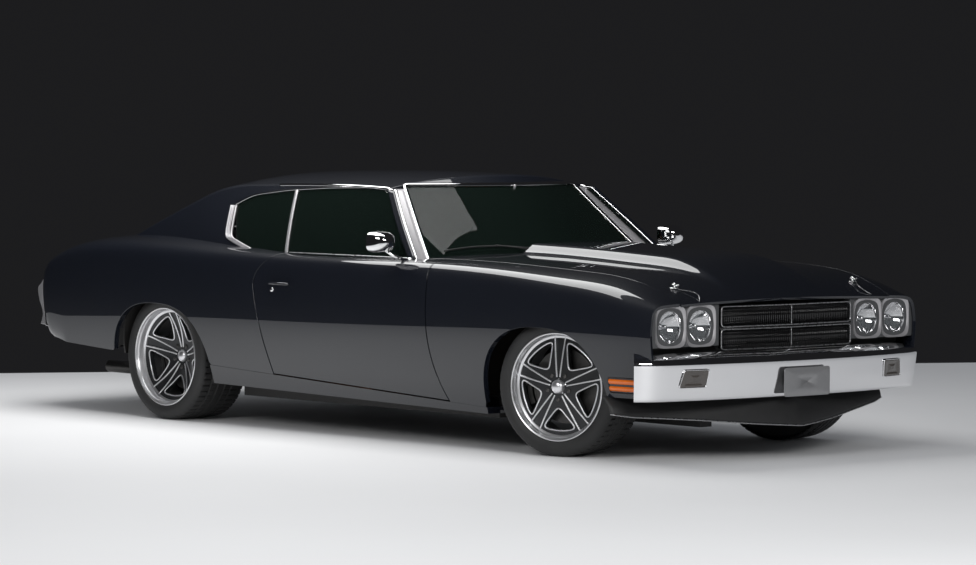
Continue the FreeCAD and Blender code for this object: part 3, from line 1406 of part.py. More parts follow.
def turned_round(shape):
    item = shape.copy()
    item.rotate(Vector(0, 0, 0), Vector(0, 0, 1), 180)
    return item


rear_bumper = turned_round(bar_loft(rear_path, rear_section))
rear_bumper = largest(cut_all(rear_bumper, quarter, mirrored(quarter), deck_room))
feature("rear_bumper", rear_bumper)
tail_lamp_low = 0.5 * (low + z_crown - S.tail_lamp_height)
tail_lamp_high = tail_lamp_low + S.tail_lamp_height


def tail_depth(z):
    return wall * (z_crown - z) / (z_crown - low)


def tail_lamp_section(y):
    return (
        (tail_depth(tail_lamp_low) - S.joint_gap, tail_lamp_low),
        (tail_depth(tail_lamp_high) - S.joint_gap, tail_lamp_high),
        (tail_depth(tail_lamp_high) - S.lamp_proud, tail_lamp_high),
        (tail_depth(tail_lamp_low) - S.lamp_proud, tail_lamp_low),
    )


tail_lamp = turned_round(bar_loft(rear_path, tail_lamp_section, middle + 4, middle + BUMPER_ROWS - 2))
feature("tail_lamps", both_sides(tail_lamp))

plate_back = half_length - S.plate_thickness
y_plate = S.plate_width / 2
plate = box(plate_back, half_length, -y_plate, y_plate, S.plate_low, S.plate_low + S.plate_height)
z_bolt = S.plate_low + S.plate_height - 3 * S.plate_hole_radius
for side in (-1, 1):
    y = side * S.plate_bolt_spacing / 2
    plate = plate.cut(forward_rod(plate_back, half_length, y, z_bolt, S.plate_hole_radius))
bracket = box(
    plate_back - S.bracket_depth, plate_back, -S.bracket_half_width, S.bracket_half_width,
    S.plate_low, S.plate_low + S.plate_height,
)
bracket = bracket.common(box(front_face - tuck, plate_back, -y_out, y_out, 0, S.belt_height))
feature("plate", largest(plate.fuse(bracket).cut(front_bumper)))

SPOILER_EDGE_SHARES = (0.46, 0.50, 0.55, 0.61, 0.66, 0.68, 0.70, 0.74, 0.78, 0.84, 0.90, 0.95, 0.97)
edge_heights = [share * S.bumper_low for share in SPOILER_EDGE_SHARES]
spoiler_edge = spline_rule([y for x, y in front_path[middle:]], edge_heights)


def spoiler_section(y):
    z_edge = spoiler_edge(abs(y))
    top = S.spoiler_setback
    return (
        (top, S.bumper_low - S.joint_gap),
        (top + S.spoiler_wall, S.bumper_low - S.joint_gap),
        (top + S.spoiler_wall - S.spoiler_reach, z_edge),
        (top - S.spoiler_reach, z_edge),
    )


feature("front_spoiler", bar_loft(front_path, spoiler_section, 2, len(front_path) - 3))

# Side markers

MARKER_SHARES = (0.05, 0.5)
x_marker = half_length - S.bumper_return - S.panel_gap - S.wall_thickness / 2
z_marker = S.bumper_low + S.wall_thickness
marker_rows = side_rows_between(x_marker - S.marker_length, x_marker, *MARKER_SHARES)
marker = slab(marker_rows, Vector(0, S.lamp_proud, 0))
marker = marker.translated(Vector(0, S.joint_gap, 0))
marker_room = box(x_marker - S.marker_length, x_marker, 0, y_out, z_marker, z_marker + S.marker_height)
marker = marker.common(marker_room)
feature("side_markers", both_sides(marker))

# Tail panel

x_panel = x_tail_return - S.tail_panel_wall
tail_panel = box(x_panel, x_tail_return, -half_width, half_width, TAIL_FOOT_SHARE * S.belt_height, high)
tail_top = box(
    -half_length + S.tail_bow + shelf / 4, x_tail_return, -S.tail_corner, S.tail_corner,
    high + S.joint_gap, high + S.joint_gap + S.tail_panel_wall,
)
tail_panel = tail_panel.common(left_half.fuse(mirrored(left_half))).fuse(tail_top)
tail_panel = cut_all(tail_panel, quarter, mirrored(quarter), rear_bumper, deck_room, frame, floor)
feature("tail_panel", largest(tail_panel))

# Seats, dashboard and steering

SEAT_LEAN = 0.35
HEAD_DEPTH_SHARE = 0.8
x_seat = S.seat_back_place
y_low = S.seat_side - S.seat_width / 2
y_high = S.seat_side + S.seat_width / 2
z_back = z_seat + S.cushion_height / 2
z_head = z_back + S.back_height
x_head = x_seat - SEAT_LEAN * S.back_height
cushion = box(x_seat, x_seat + S.cushion_length, y_low, y_high, z_seat, z_seat + S.cushion_height)
back = side_prism(
    [
        (x_seat + S.back_thickness, z_back),
        (x_seat, z_back),
        (x_head, z_head),
        (x_head + HEAD_DEPTH_SHARE * S.back_thickness, z_head),
    ],
    y_low, y_high,
)
head = box(
    x_head, x_head + HEAD_DEPTH_SHARE * S.back_thickness,
    S.seat_side - S.headrest_width / 2, S.seat_side + S.headrest_width / 2,
    z_head - sheet_wall, z_head + S.headrest_height,
)
feature("front_seats", both_sides(cushion.fuse([back, head]).removeSplitter()))
x_bench = x_heel + sheet_wall
y_bench = y_tunnel + S.joint_gap
z_bench = z_seat + S.cushion_height
z_bench_top = z_bench + S.bench_back_height
bench = box(x_bench, x_bench + S.cushion_length, y_bench, S.bench_half_width, z_seat, z_bench)
bench_back = side_prism(
    [
        (x_bench, z_bench),
        (x_bench + S.back_thickness, z_bench),
        (x_bench + S.bench_back_top, z_bench_top),
        (x_bench, z_bench_top),
    ],
    y_bench, S.bench_half_width,
)
feature("rear_seat", both_sides(largest(bench.fuse(bench_back).removeSplitter().cut(frame))))
z_shelf = z_bench_top + S.joint_gap
parcel_shelf = box(
    x_deck_front, x_bench + S.bench_back_top, -half_width, half_width, z_shelf, z_shelf + S.parcel_shelf_wall
)
parcel_shelf = parcel_shelf.common(left_half.fuse(mirrored(left_half)))
parcel_shelf = largest(cut_all(parcel_shelf, quarter, mirrored(quarter), deck_room))
feature("parcel_shelf", parcel_shelf)
x_dash = x_toe - S.dash_depth
dash = box(x_dash, x_toe, -S.dash_half_width, S.dash_half_width, S.dash_low, S.dash_high)
dash = dash.cut(cowl)
feature("dashboard", largest(dash))
tilt = math.radians(S.steering_tilt)
steering_hub = Vector(x_toe - S.steering_setback, S.seat_side, S.steering_height)
along = Vector(math.sin(tilt), 0, -math.cos(tilt))
rim_section = S.steering_rim_radius
ring = Part.makeTorus(S.steering_wheel_radius, rim_section, steering_hub, along)
boss = rod(steering_hub - along * rim_section, steering_hub + along * (3 * rim_section), 2 * rim_section)
spokes = []
for angle in (90, 210, 330):
    spoke = rod(Vector(0, 0, 0), Vector(S.steering_wheel_radius, 0, 0), rim_section / 2)
    spoke.rotate(Vector(0, 0, 0), Vector(0, 0, 1), angle)
    spoke.rotate(Vector(0, 0, 0), Vector(0, 1, 0), 180 - S.steering_tilt)
    spoke.translate(steering_hub)
    spokes.append(spoke)
feature("steering_wheel", ring.fuse([boss] + spokes))
column_start = steering_hub + along * (3 * rim_section + S.joint_gap)
column = rod(column_start, steering_hub + along * S.column_length, 2 * rim_section)
feature("steering_column", largest(column.cut(dash)))

# Mirrors and hood pins

MIRROR_TIP_SHARE = 0.35
MIRROR_FRONT_SHARE = 0.7
MIRROR_REACH_SHARE = 1.9
MIRROR_RISE_SHARE = 1.15
MIRROR_BACK_SHARE = 0.6
x_mirror = x_door_front - S.mirror_setback
door_top = side_point(x_mirror, DOOR_TOP_SHARE)
mirror_foot = door_top - Vector(0, S.mirror_stem, S.mirror_stem)
size = S.mirror_radius
mirror_head = door_top + Vector(-MIRROR_BACK_SHARE * size, MIRROR_REACH_SHARE * size, MIRROR_RISE_SHARE * size)
mirror_bowl = Part.makeCone(
    size, MIRROR_TIP_SHARE * size, MIRROR_FRONT_SHARE * S.mirror_length,
    mirror_head - Vector(S.mirror_length / 3, 0, 0), Vector(1, 0, 0),
)
mirror = largest(rod(mirror_foot, mirror_head, S.mirror_stem).fuse(mirror_bowl).cut(door_left))
feature("mirror_left", mirror)
feature("mirror_right", mirrored(mirror))
pin_spot = top_point(half_length - S.pin_setback, S.pin_place, 1.0)
pin = rod(pin_spot - Vector(0, 0, S.pin_size), pin_spot + Vector(0, 0, S.pin_rise), S.pin_size)
feature("hood_pins", both_sides(max(pin.cut(hood).Solids, key=lambda solid: solid.CenterOfMass.z)))

doc.recompute()
os.makedirs("parts", exist_ok=True)
for item in doc.Objects:
    if "Invalid" in item.State or "Error" in item.State:
        raise ValueError("%s is not sound" % item.Label)
for item in nodes:
    if item.Shape.isNull() or not item.Shape.isValid():
        raise ValueError("%s is not sound" % item.Label)
for item in nodes:
    item.Shape.exportStep("parts/%s.step" % item.Label)
    print(item.Label, round(item.Shape.Volume / 1e6, 2), len(item.Shape.Solids))
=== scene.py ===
import math

import bmesh
import bpy
import numpy as np
from mathutils import Matrix, Vector


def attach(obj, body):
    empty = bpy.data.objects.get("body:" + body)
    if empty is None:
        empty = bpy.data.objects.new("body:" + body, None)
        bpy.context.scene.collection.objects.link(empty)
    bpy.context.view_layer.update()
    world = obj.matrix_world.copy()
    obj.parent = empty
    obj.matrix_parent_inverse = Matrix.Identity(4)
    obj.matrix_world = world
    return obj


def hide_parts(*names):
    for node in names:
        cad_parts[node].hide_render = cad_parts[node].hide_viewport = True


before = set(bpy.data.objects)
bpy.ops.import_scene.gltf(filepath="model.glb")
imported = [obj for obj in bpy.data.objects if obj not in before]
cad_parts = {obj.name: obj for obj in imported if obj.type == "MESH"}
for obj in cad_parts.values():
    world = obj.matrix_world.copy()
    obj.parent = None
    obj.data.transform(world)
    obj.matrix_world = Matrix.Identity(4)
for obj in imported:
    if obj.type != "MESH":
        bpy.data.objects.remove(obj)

bl_info = {
    "name": "Muscle car looks",
    "version": (1, 0, 0),
    "blender": (4, 5, 0),
    "location": "3D View > Sidebar > Car",
    "description": "Dresses the packed solids of a two-door hardtop car with surfaces and materials",
    "category": "Object",
}

# Sizes, in metres, the same as in the solids

HALF_LENGTH = 2.5045
HALF_WIDTH = 0.9575
BELT = 0.872
ROOF = 1.279
GAP = 0.006
X_FRONT_AXLE = HALF_LENGTH - 0.815
X_REAR_AXLE = X_FRONT_AXLE - 2.845
X_DOOR_FRONT = X_FRONT_AXLE - 0.767
DOOR_LENGTH = 1.281
X_DOOR_REAR = X_DOOR_FRONT - DOOR_LENGTH
TYRE_RADIUS = 0.322
ARCH_TOP = 0.596
ARCH_HALF = 0.408
ARCH_FOOT = 0.200
X_NOSE = 0.948 * HALF_LENGTH
X_TAIL = -0.958 * HALF_LENGTH
X_HOOD_FRONT = 0.953 * HALF_LENGTH
X_DECK_FRONT = -0.69 * HALF_LENGTH
X_DECK_REAR = -0.955 * HALF_LENGTH
DOOR_LOW_FRONT = 0.226
DOOR_LOW_REAR = 0.288
DOOR_TOE = 0.096
DOOR_HEEL = 0.104
STEER_REST = math.radians(14)
KINGPIN = 0.700
RIM_FACE = {"front": 0.851, "rear": 0.881}
TYRE_WIDTH = {"front": 0.245, "rear": 0.285}
SCREEN_TOP = 0.955 * ROOF
X_BACK_TOP = -0.44 * HALF_LENGTH
X_BACK_LOW = -0.675 * HALF_LENGTH
X_DIVIDER = -0.11 * HALF_LENGTH
X_DIVIDER_TOP = -0.105 * HALF_LENGTH
X_LAMP = HALF_LENGTH - 0.153
SIDES = (("left", 1), ("right", -1))

STATIONS = HALF_LENGTH * np.array(
    (-1.0, -0.92, -0.82, -0.68, -0.457, -0.128, 0.12, 0.375, 0.56, 0.72, 0.84, 0.90, 0.975)
)
WIDEST = (0.905, 0.932, 0.957, 0.982, 1.0, 0.9975, 0.995, 0.992, 0.988, 0.982, 0.966, 0.948, 0.905)
WIDEST_HEIGHT = (0.69, 0.675, 0.66, 0.642, 0.63, 0.608, 0.602, 0.608, 0.619, 0.625, 0.625, 0.625, 0.62)
CREASE_HEIGHT = (0.66, 0.82, 0.955, 1.02, 1.03, 0.990, 0.983, 0.990, 0.970, 0.930, 0.885, 0.850, 0.805)
GAP_HEIGHT = (0.70, 0.875, 1.003, 1.061, 1.064, 1.012, 1.003, 1.010, 0.998, 0.976, 0.939, 0.888, 0.795)
GAP_WIDTH = (0.60, 0.61, 0.63, 0.655, 0.70, 0.86, 0.875, 0.80, 0.778, 0.768, 0.752, 0.737, 0.72)
CENTRE_HEIGHT = (
    0.75, 0.917, 1.038, 1.090, 1.094, 1.044, 1.034, 1.038, 1.024, 1.002, 0.963, 0.910, 0.806
)
ROOF_STATIONS = HALF_LENGTH * np.array(
    (-0.76, -0.70, -0.64, -0.56, -0.48, -0.40, -0.28, -0.06, 0.08, 0.214, 0.30)
)
ROOF_HEIGHTS = (0.722, 0.750, 0.797, 0.860, 0.919, 0.970, 0.993, 1.0, 0.9975, 0.985, 0.968)


# Formulas of the body surfaces, on whole arrays


def column(count, low=0.0, high=1.0):
    """Evenly spaced values as one column."""
    return np.linspace(low, high, count)[:, None]


def row(count, low=0.0, high=1.0):
    """Evenly spaced values as one row."""
    return np.linspace(low, high, count)[None, :]


def lerp(a, b, t):
    """Straight mix a + (b - a) t."""
    return a + (b - a) * t


def quadratic(start, pull, end, t):
    """Quadratic curve from start to end, drawn towards pull."""
    return (1 - t) ** 2 * start + 2 * t * (1 - t) * pull + t * t * end


def unit(rows):
    """Vectors scaled to length one."""
    return rows / np.linalg.norm(rows, axis=-1, keepdims=True)


def spline_rule(places, values):
    """Natural cubic spline through (places, values), straight beyond its ends."""
    places = np.asarray(places, float)
    values = np.asarray(values, float)
    count = len(places)
    steps = np.diff(places)
    slopes = np.diff(values) / steps
    system = np.eye(count)
    right = np.zeros(count)
    for i in range(1, count - 1):
        system[i, i - 1:i + 2] = (steps[i - 1], 2 * (steps[i - 1] + steps[i]), steps[i])
        right[i] = 6 * (slopes[i] - slopes[i - 1])
    bends = np.linalg.solve(system, right)
    first = slopes[0] - bends[1] * steps[0] / 6
    last = slopes[-1] + bends[-2] * steps[-1] / 6

    def rule(x):
        x = np.asarray(x, float)
        i = np.clip(np.searchsorted(places, x) - 1, 0, count - 2)
        step = steps[i]
        into = np.clip(x - places[i], 0, step)
        rest = step - into
        out = (bends[i] * rest ** 3 + bends[i + 1] * into ** 3) / (6 * step)
        out = out + (values[i] / step - bends[i] * step / 6) * rest
        out = out + (values[i + 1] / step - bends[i + 1] * step / 6) * into
        return out + np.minimum(x - places[0], 0) * first + np.maximum(x - places[-1], 0) * last

    return rule


def body_line(shares, scale):
    """A line along the body from shares of a scale, one for each station."""
    return spline_rule(STATIONS, np.array(shares) * scale)


widest = body_line(WIDEST, HALF_WIDTH)
widest_height = body_line(WIDEST_HEIGHT, BELT)
crease_height = body_line(CREASE_HEIGHT, BELT)
gap_height = body_line(GAP_HEIGHT, BELT)
gap_width = body_line(GAP_WIDTH, HALF_WIDTH)
centre_height = body_line(CENTRE_HEIGHT, BELT)
roof_line = spline_rule(ROOF_STATIONS, np.array(ROOF_HEIGHTS) * ROOF)


def spline_weights(share, count):
    """Weights of a clamped cubic B-spline's poles, by the Cox-de Boor rule."""
    spans = count - 3
    knots = np.concatenate([[0.0] * 3, np.arange(spans + 1.0), [float(spans)] * 3])
    t = np.clip(share, 0, 1) * spans
    t = np.minimum(t, spans - 1e-9)
    basis = [((t >= knots[i]) & (t < knots[i + 1])).astype(float) for i in range(len(knots) - 1)]
    for degree in range(1, 4):
        raised = []
        for i in range(len(knots) - degree - 1):
            low = knots[i + degree] - knots[i]
            high = knots[i + degree + 1] - knots[i + 1]
            value = (t - knots[i]) / low * basis[i] if low > 0 else 0 * t
            if high > 0:
                value = value + (knots[i + degree + 1] - t) / high * basis[i + 1]
            raised.append(value)
        basis = raised
    return basis


def side_surface(x, share):
    """Body side: a B-spline from the sill (0) over the crease to the lid gap (1) at each x."""
    x = np.asarray(x, float)
    wide = widest(x)
    mid = widest_height(x)
    crease_y = wide - 0.026 * HALF_WIDTH
    crease_z = crease_height(x)
    inner_y = gap_width(x)
    inner_z = gap_height(x)
    across = (
        wide - 0.11 * HALF_WIDTH, wide - 0.052 * HALF_WIDTH, wide + 0.007 * HALF_WIDTH,
        wide - 0.007 * HALF_WIDTH, crease_y, crease_y + 0.40 * (inner_y - crease_y), inner_y,
    )
    up = (
        0.115 * BELT + 0 * x, 0.33 * BELT + 0 * x, mid, mid + 0.62 * (crease_z - mid),
        crease_z, crease_z + 0.70 * (inner_z - crease_z), inner_z,
    )
    weights = spline_weights(share, 7)
    y = sum(w * a for w, a in zip(weights, across))
    z = sum(w * a for w, a in zip(weights, up))
    return np.stack([x + 0 * y, y, z], -1)


def share_at(x, z):
    """Share of the side section at which it reaches height z, by a table at each x."""
    table = np.linspace(0, 1, 160)
    heights = side_surface(np.repeat(np.ravel(x)[:, None], 160, 1), table[None, :])[..., 2]
    found = [np.interp(h, row, table) for h, row in zip(np.ravel(z), heights)]
    return np.array(found).reshape(np.shape(x))


def tail_turn(points):
    """Draw the tail's corners in: the width shrinks by a smooth ramp behind the rear wheels."""
    points = np.array(points, float)
    behind = np.maximum(-0.862 * HALF_LENGTH - points[..., 0], 0)
    points[..., 1] *= 1 - 0.84 * behind * behind / (behind + 0.045)
    return points


def tail_end(z):
    """x of the quarter panel's rear end at height z: upright, tucked forward below the bumper."""
    low = np.clip((0.600 * BELT - z) / (0.115 * BELT), 0, 1.9)
    return X_TAIL + 0.135 * low ** 1.6


def soft_step(value):
    """Smooth step 3 p^2 - 2 p^3 of the value kept between 0 and 1."""
    part = np.clip(value, 0, 1)
    return part * part * (3 - 2 * part)


def top_surface(x, y, raised=0.0):
    """Hood, cowl and deck: a parabola across at each x, with a flat dome raised along the middle."""
    share = y / gap_width(x)
    z = centre_height(x) + (gap_height(x) - centre_height(x)) * share * share
    across = soft_step((0.345 - np.abs(y)) / 0.070)
    fade = soft_step((X_HOOD_FRONT - x) / (0.22 * HALF_LENGTH))
    return np.stack([x + 0 * y, y + 0 * x, z + raised * 0.046 * across * fade], -1)


def glass_bow(y):
    """How far the windshield's foot bows back at y: a squared sine."""
    return 0.0886 * HALF_LENGTH * np.sin(0.5 * math.pi * y / (0.90 * HALF_WIDTH)) ** 2


def hood_rear(y):
    """x of the hood's rear edge, bowed like the windshield."""
    return 0.403 * HALF_LENGTH - glass_bow(y)


def roof_surface(x, y):
    """Roof: the long roof line less a parabola across."""
    z = roof_line(x) - 0.045 * ROOF * (y / (0.62 * HALF_WIDTH)) ** 2
    return np.stack([x + 0 * y, y + 0 * x, z], -1)


def windshield_surface(y, z):
    """Windshield: straight and leaning in side view, bowed in plan by a squared sine."""
    x = 0.359 * HALF_LENGTH - glass_bow(y) - 1.15 * (z - BELT)
    return np.stack([x, y + 0 * x, z + 0 * x], -1)


def cabin_side(x, z):
    """Cabin side: leaning in with height, drawn in towards the rear by a smooth step."""
    rise = z - BELT
    taper = 0.12 * HALF_WIDTH * soft_step((-0.22 * HALF_LENGTH - x) / (0.52 * HALF_LENGTH))
    y = 0.856 * HALF_WIDTH - 0.42 * rise - 0.34 * rise * rise / ROOF - taper
    return np.stack([x + 0 * y, y, z + 0 * y], -1)


def door_front(z):
    """x of the door's front gap: upright, its foot drawn forward by the fourth power of the fall."""
    fall = (BELT - z) / (BELT - DOOR_LOW_FRONT)
    return X_DOOR_FRONT + DOOR_TOE * np.maximum(fall, 0) ** 4


def door_rear(z):
    """x of the door's rear gap: leaning below the shoulder, a parabola above it."""
    shoulder = 0.83 * BELT
    lean = DOOR_HEEL * np.maximum((shoulder - z) / (shoulder - DOOR_LOW_REAR), 0)
    return X_DOOR_REAR + lean + 0.10 * DOOR_LENGTH * np.maximum((z - shoulder) / (BELT - shoulder), 0) ** 2


def door_low(x):
    """Height of the door's lower gap, straight from rear to front."""
    return DOOR_LOW_REAR + (DOOR_LOW_FRONT - DOOR_LOW_REAR) * (x - X_DOOR_REAR) / DOOR_LENGTH


def arch_line(x_axle, count):
    """Wheel opening: a superellipse of power 2.5, from its rear foot to its front foot."""
    t = np.linspace(math.pi, 0, count)
    x = x_axle + ARCH_HALF * np.sign(np.cos(t)) * np.abs(np.cos(t)) ** 0.8
    return x, ARCH_FOOT + (ARCH_TOP - ARCH_FOOT) * np.sin(t).clip(0) ** 0.8


# Meshes

TIP = 0.0001  # radius at which a turned shape closes


def grid_faces(rows, columns, start=0, wrap_rows=False, wrap_columns=False):
    """Quads of a grid of rows by columns, joined round where wrapped."""
    i = np.arange(rows if wrap_rows else rows - 1)
    j = np.arange(columns if wrap_columns else columns - 1)
    a, b = np.meshgrid(i, j, indexing="ij")
    c = (a + 1) % rows
    d = (b + 1) % columns
    quads = np.stack([a * columns + b, c * columns + b, c * columns + d, a * columns + d], -1)
    return quads.reshape(-1, 4) + start


def join_grids(grids):
    """One vertex and face list from (points, wrap_rows, wrap_columns) grids or plain point grids."""
    points, faces, start = [], [], 0
    for grid in grids:
        wraps = (False, False)
        if isinstance(grid, tuple):
            grid, *wraps = grid
        rows, columns = grid.shape[:2]
        points.append(grid.reshape(-1, 3))
        faces.append(grid_faces(rows, columns, start, *wraps))
        start += rows * columns
    return np.concatenate(points), np.concatenate(faces)


def make_mesh(name, points, faces, weld=True, aim=None):
    """A mesh from arrays, welded; its faces are turned outwards, or away from the point aim."""
    mesh = bpy.data.meshes.new(name)
    mesh.from_pydata(np.asarray(points).tolist(), [], np.asarray(faces).tolist())
    work = bmesh.new()
    work.from_mesh(mesh)
    if weld:
        bmesh.ops.remove_doubles(work, verts=work.verts, dist=2e-5)
        bmesh.ops.dissolve_degenerate(work, edges=work.edges, dist=1e-6)
    bmesh.ops.recalc_face_normals(work, faces=work.faces)
    if aim is not None:
        centre = Vector(aim)
        total = sum(f.calc_area() * f.normal.dot(f.calc_center_median() - centre) for f in work.faces)
        if total < 0:
            bmesh.ops.reverse_faces(work, faces=work.faces)
    work.to_mesh(mesh)
    work.free()
    mesh.polygons.foreach_set("use_smooth", np.ones(len(mesh.polygons), bool))
    return mesh


def place(name, mesh, material, body, nodes=()):
    """An object of this mesh that rides on a body and stands for the given solids."""
    item = bpy.data.objects.new(name, mesh)
    bpy.context.scene.collection.objects.link(item)
    mesh.materials.clear()
    mesh.materials.append(finish_of(material))
    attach(item, body)
    if nodes:
        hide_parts(*nodes)
    return item


def add_piece(name, grids, finish, body, nodes=(), aim=None, sharp=None, side=1):
    """One object from joined grids; edges over sharp degrees stay sharp, side -1 mirrors it."""
    points, faces = join_grids(grids)
    mesh = make_mesh(name, points * (1, side, 1), faces, aim=aim)
    if sharp:
        mesh.set_sharp_from_angle(angle=math.radians(sharp))
    return place(name, mesh, finish, body, nodes)


def round_edges(item, width):
    """Round the edges that turn by more than 50 degrees."""
    edge = item.modifiers.new("Edge", "BEVEL")
    edge.width = width
    edge.segments = 2
    edge.limit_method = "ANGLE"
    edge.angle_limit = math.radians(50)
    edge.harden_normals = True


def solidify(item, thickness, bevel=0.0):
    """Give an open sheet its wall, inwards, and round its edges."""
    wall = item.modifiers.new("Wall", "SOLIDIFY")
    wall.thickness = thickness
    wall.offset = -1
    wall.use_even_offset = False
    if bevel:
        round_edges(item, bevel)


def mirror_points(points):
    """The same points on the other side of the car."""
    return np.asarray(points) * (1, -1, 1)


def tube(path, radius, sides=12, closed=False):
    """A round section of the given radius carried along a path, with flat ends closed by its centre."""
    path = np.asarray(path, float)
    ahead = np.roll(path, -1, 0) - np.roll(path, 1, 0)
    if not closed:
        ahead[0] = path[1] - path[0]
        ahead[-1] = path[-1] - path[-2]
    ahead = unit(ahead)
    for up in ((0.0, 0.0, 1.0), (0.0, 1.0, 0.0), (1.0, 0.3, 0.2)):
        if np.abs(ahead @ np.array(up)).max() <= 0.95:
            break
    side = unit(np.cross(ahead, up))
    lift = np.cross(side, ahead)
    angle = np.linspace(0, 2 * math.pi, sides, endpoint=False)
    radius = np.broadcast_to(np.asarray(radius, float), (len(path),))
    ring = path[:, None] + radius[:, None, None] * (
        np.cos(angle)[None, :, None] * side[:, None] + np.sin(angle)[None, :, None] * lift[:, None]
    )
    if closed:
        return [(ring, True, True)]
    first = np.repeat(path[:1, None], sides, 1)
    last = np.repeat(path[-1:, None], sides, 1)
    return [(np.concatenate([first, ring, last]), False, True)]


def capped(ring):
    """A tube's grid, wrapped round, with each end closed at its centre."""
    first, last = (np.repeat(end.mean(1, keepdims=True), ring.shape[1], 1) for end in (ring[:1], ring[-1:]))
    return (np.concatenate([first, ring, last]), False, True)


def strip(path, normal, width, height):
    """A half-round moulding: a low arch of the given width and height carried along a path on a surface."""
    path = np.asarray(path, float)
    normal = np.broadcast_to(unit(np.asarray(normal, float)), path.shape)
    side = unit(np.cross(unit(np.gradient(path, axis=0)), normal))
    t = np.linspace(0, math.pi, 7)
    ring = path[:, None] + 0.5 * width * np.cos(t)[None, :, None] * side[:, None]
    ring = ring + (height * np.sin(t) ** 0.6 - 0.35 * height)[None, :, None] * normal[:, None]
    centre = path[:, None] - 0.8 * height * normal[:, None]
    return [capped(np.concatenate([ring, centre], 1))]


def closed_strip(line, normal, width, height):
    """A low half-round bead along a closed line."""
    ahead = unit(np.roll(line, -1, 0) - np.roll(line, 1, 0))
    side = np.cross(ahead, normal)
    t = np.linspace(0, math.pi, 7)
    ring = line[:, None] + 0.5 * width * np.cos(t)[None, :, None] * side[:, None]
    ring = ring + (height * np.sin(t) - 0.3 * height)[None, :, None] * np.asarray(normal)
    under = line[:, None] - height * np.asarray(normal)
    return (np.concatenate([ring, under], 1), True, True)


def lathe(profile, centre, axis, across, sides=96):
    """A profile of (radius, distance along the axis) turned round the axis."""
    axis = np.asarray(axis, float)
    across = np.asarray(across, float)
    third = np.cross(axis, across)
    angle = np.linspace(0, 2 * math.pi, sides, endpoint=False)
    profile = np.asarray(profile, float)
    round_way = np.cos(angle)[:, None] * across + np.sin(angle)[:, None] * third
    points = profile[:, 0][:, None, None] * round_way[None] + profile[:, 1][:, None, None] * axis
    return points + np.asarray(centre, float)


def spun(profile, centre, axis, across, sides, closed=False):
    """A turned shape as a grid to join; closed wraps a profile that ends where it begins."""
    return (lathe(profile, centre, axis, across, sides), closed, True)


def rounded_block(low, high, power=5.0, rows=24, columns=36, lean=0.0):
    """A block with soft edges: a superellipsoid of the given power filling the box, sheared by lean."""
    low, high = np.asarray(low, float), np.asarray(high, float)
    u = column(rows, -0.5 * math.pi, 0.5 * math.pi)
    v = np.linspace(-math.pi, math.pi, columns, endpoint=False)[None, :]

    def part(f, a):
        return np.sign(f(a)) * np.abs(f(a)) ** (2 / power)

    across = [part(np.cos, u) * part(np.cos, v), part(np.cos, u) * part(np.sin, v), part(np.sin, u) + 0 * v]
    points = 0.5 * (low + high) + 0.5 * (high - low) * np.stack(across, -1)
    points[..., 0] += lean * (points[..., 2] - low[2])
    return (points, False, True)


def resample(line, count):
    """Points evenly spaced along a polyline."""
    line = np.asarray(line, float)
    run = np.concatenate([[0], np.cumsum(np.linalg.norm(np.diff(line, axis=0), axis=1))])
    t = np.linspace(0, run[-1], count)
    return np.stack([np.interp(t, run, line[:, k]) for k in range(line.shape[1])], -1)


def round_line(points, count, ease=2):
    """A polyline sampled evenly and eased at its corners by averaging neighbours."""
    line = resample(points, count)
    for _ in range(ease):
        line[1:-1] = 0.25 * line[:-2] + 0.5 * line[1:-1] + 0.25 * line[2:]
    return line


def ease_closed(line, times):
    """A closed line eased by averaging neighbours."""
    for _ in range(times):
        line = 0.25 * np.roll(line, 1, 0) + 0.5 * line + 0.25 * np.roll(line, -1, 0)
    return line


def eased(section, count, times):
    """A closed section sampled evenly and eased at its corners."""
    return ease_closed(resample(np.concatenate([section, section[:1]]), count + 1)[:-1], times)


def coons(bottom, top, left, right):
    """Patch between four boundary lines: sum of the two ruled patches less the corner patch."""
    u = np.linspace(0, 1, len(bottom))[:, None, None]
    v = np.linspace(0, 1, len(left))[None, :, None]
    across = lerp(left[None], right[None], u)
    up = lerp(bottom[:, None], top[:, None], v)
    corner = lerp(lerp(bottom[0], bottom[-1], u), lerp(top[0], top[-1], u), v)
    return across + up - corner


def ruled(first, last, count):
    """Straight lines drawn between two equally long lines of points."""
    return lerp(first[:, None], last[:, None], np.linspace(0, 1, count)[None, :, None])


def boxes(lows, highs):
    """Vertices and faces of many boxes at once."""
    lows, highs = np.asarray(lows, float), np.asarray(highs, float)
    pick = np.array([(i, j, k) for i in (0, 1) for j in (0, 1) for k in (0, 1)])
    points = np.where(pick[None] == 0, lows[:, None], highs[:, None]).reshape(-1, 3)
    quads = np.array([(0, 1, 3, 2), (4, 6, 7, 5), (0, 4, 5, 1), (2, 3, 7, 6), (0, 2, 6, 4), (1, 5, 7, 3)])
    faces = (np.arange(len(lows))[:, None, None] * 8 + quads[None]).reshape(-1, 4)
    return points, faces


# Materials


class Shade:
    """A shader socket that Python's operators combine through Math nodes."""

    def __init__(self, tree, socket):
        self.tree = tree
        self.socket = socket

    def op(self, kind, other):
        node = self.tree.nodes.new("ShaderNodeMath")
        node.operation = kind
        for slot, value in zip(node.inputs, (self, other)):
            if isinstance(value, Shade):
                self.tree.links.new(value.socket, slot)
            else:
                slot.default_value = value
        return Shade(self.tree, node.outputs[0])

    def __add__(self, other):
        return self.op("ADD", other)

    def __mul__(self, other):
        return self.op("MULTIPLY", other)

    __radd__ = __add__
    __rmul__ = __mul__


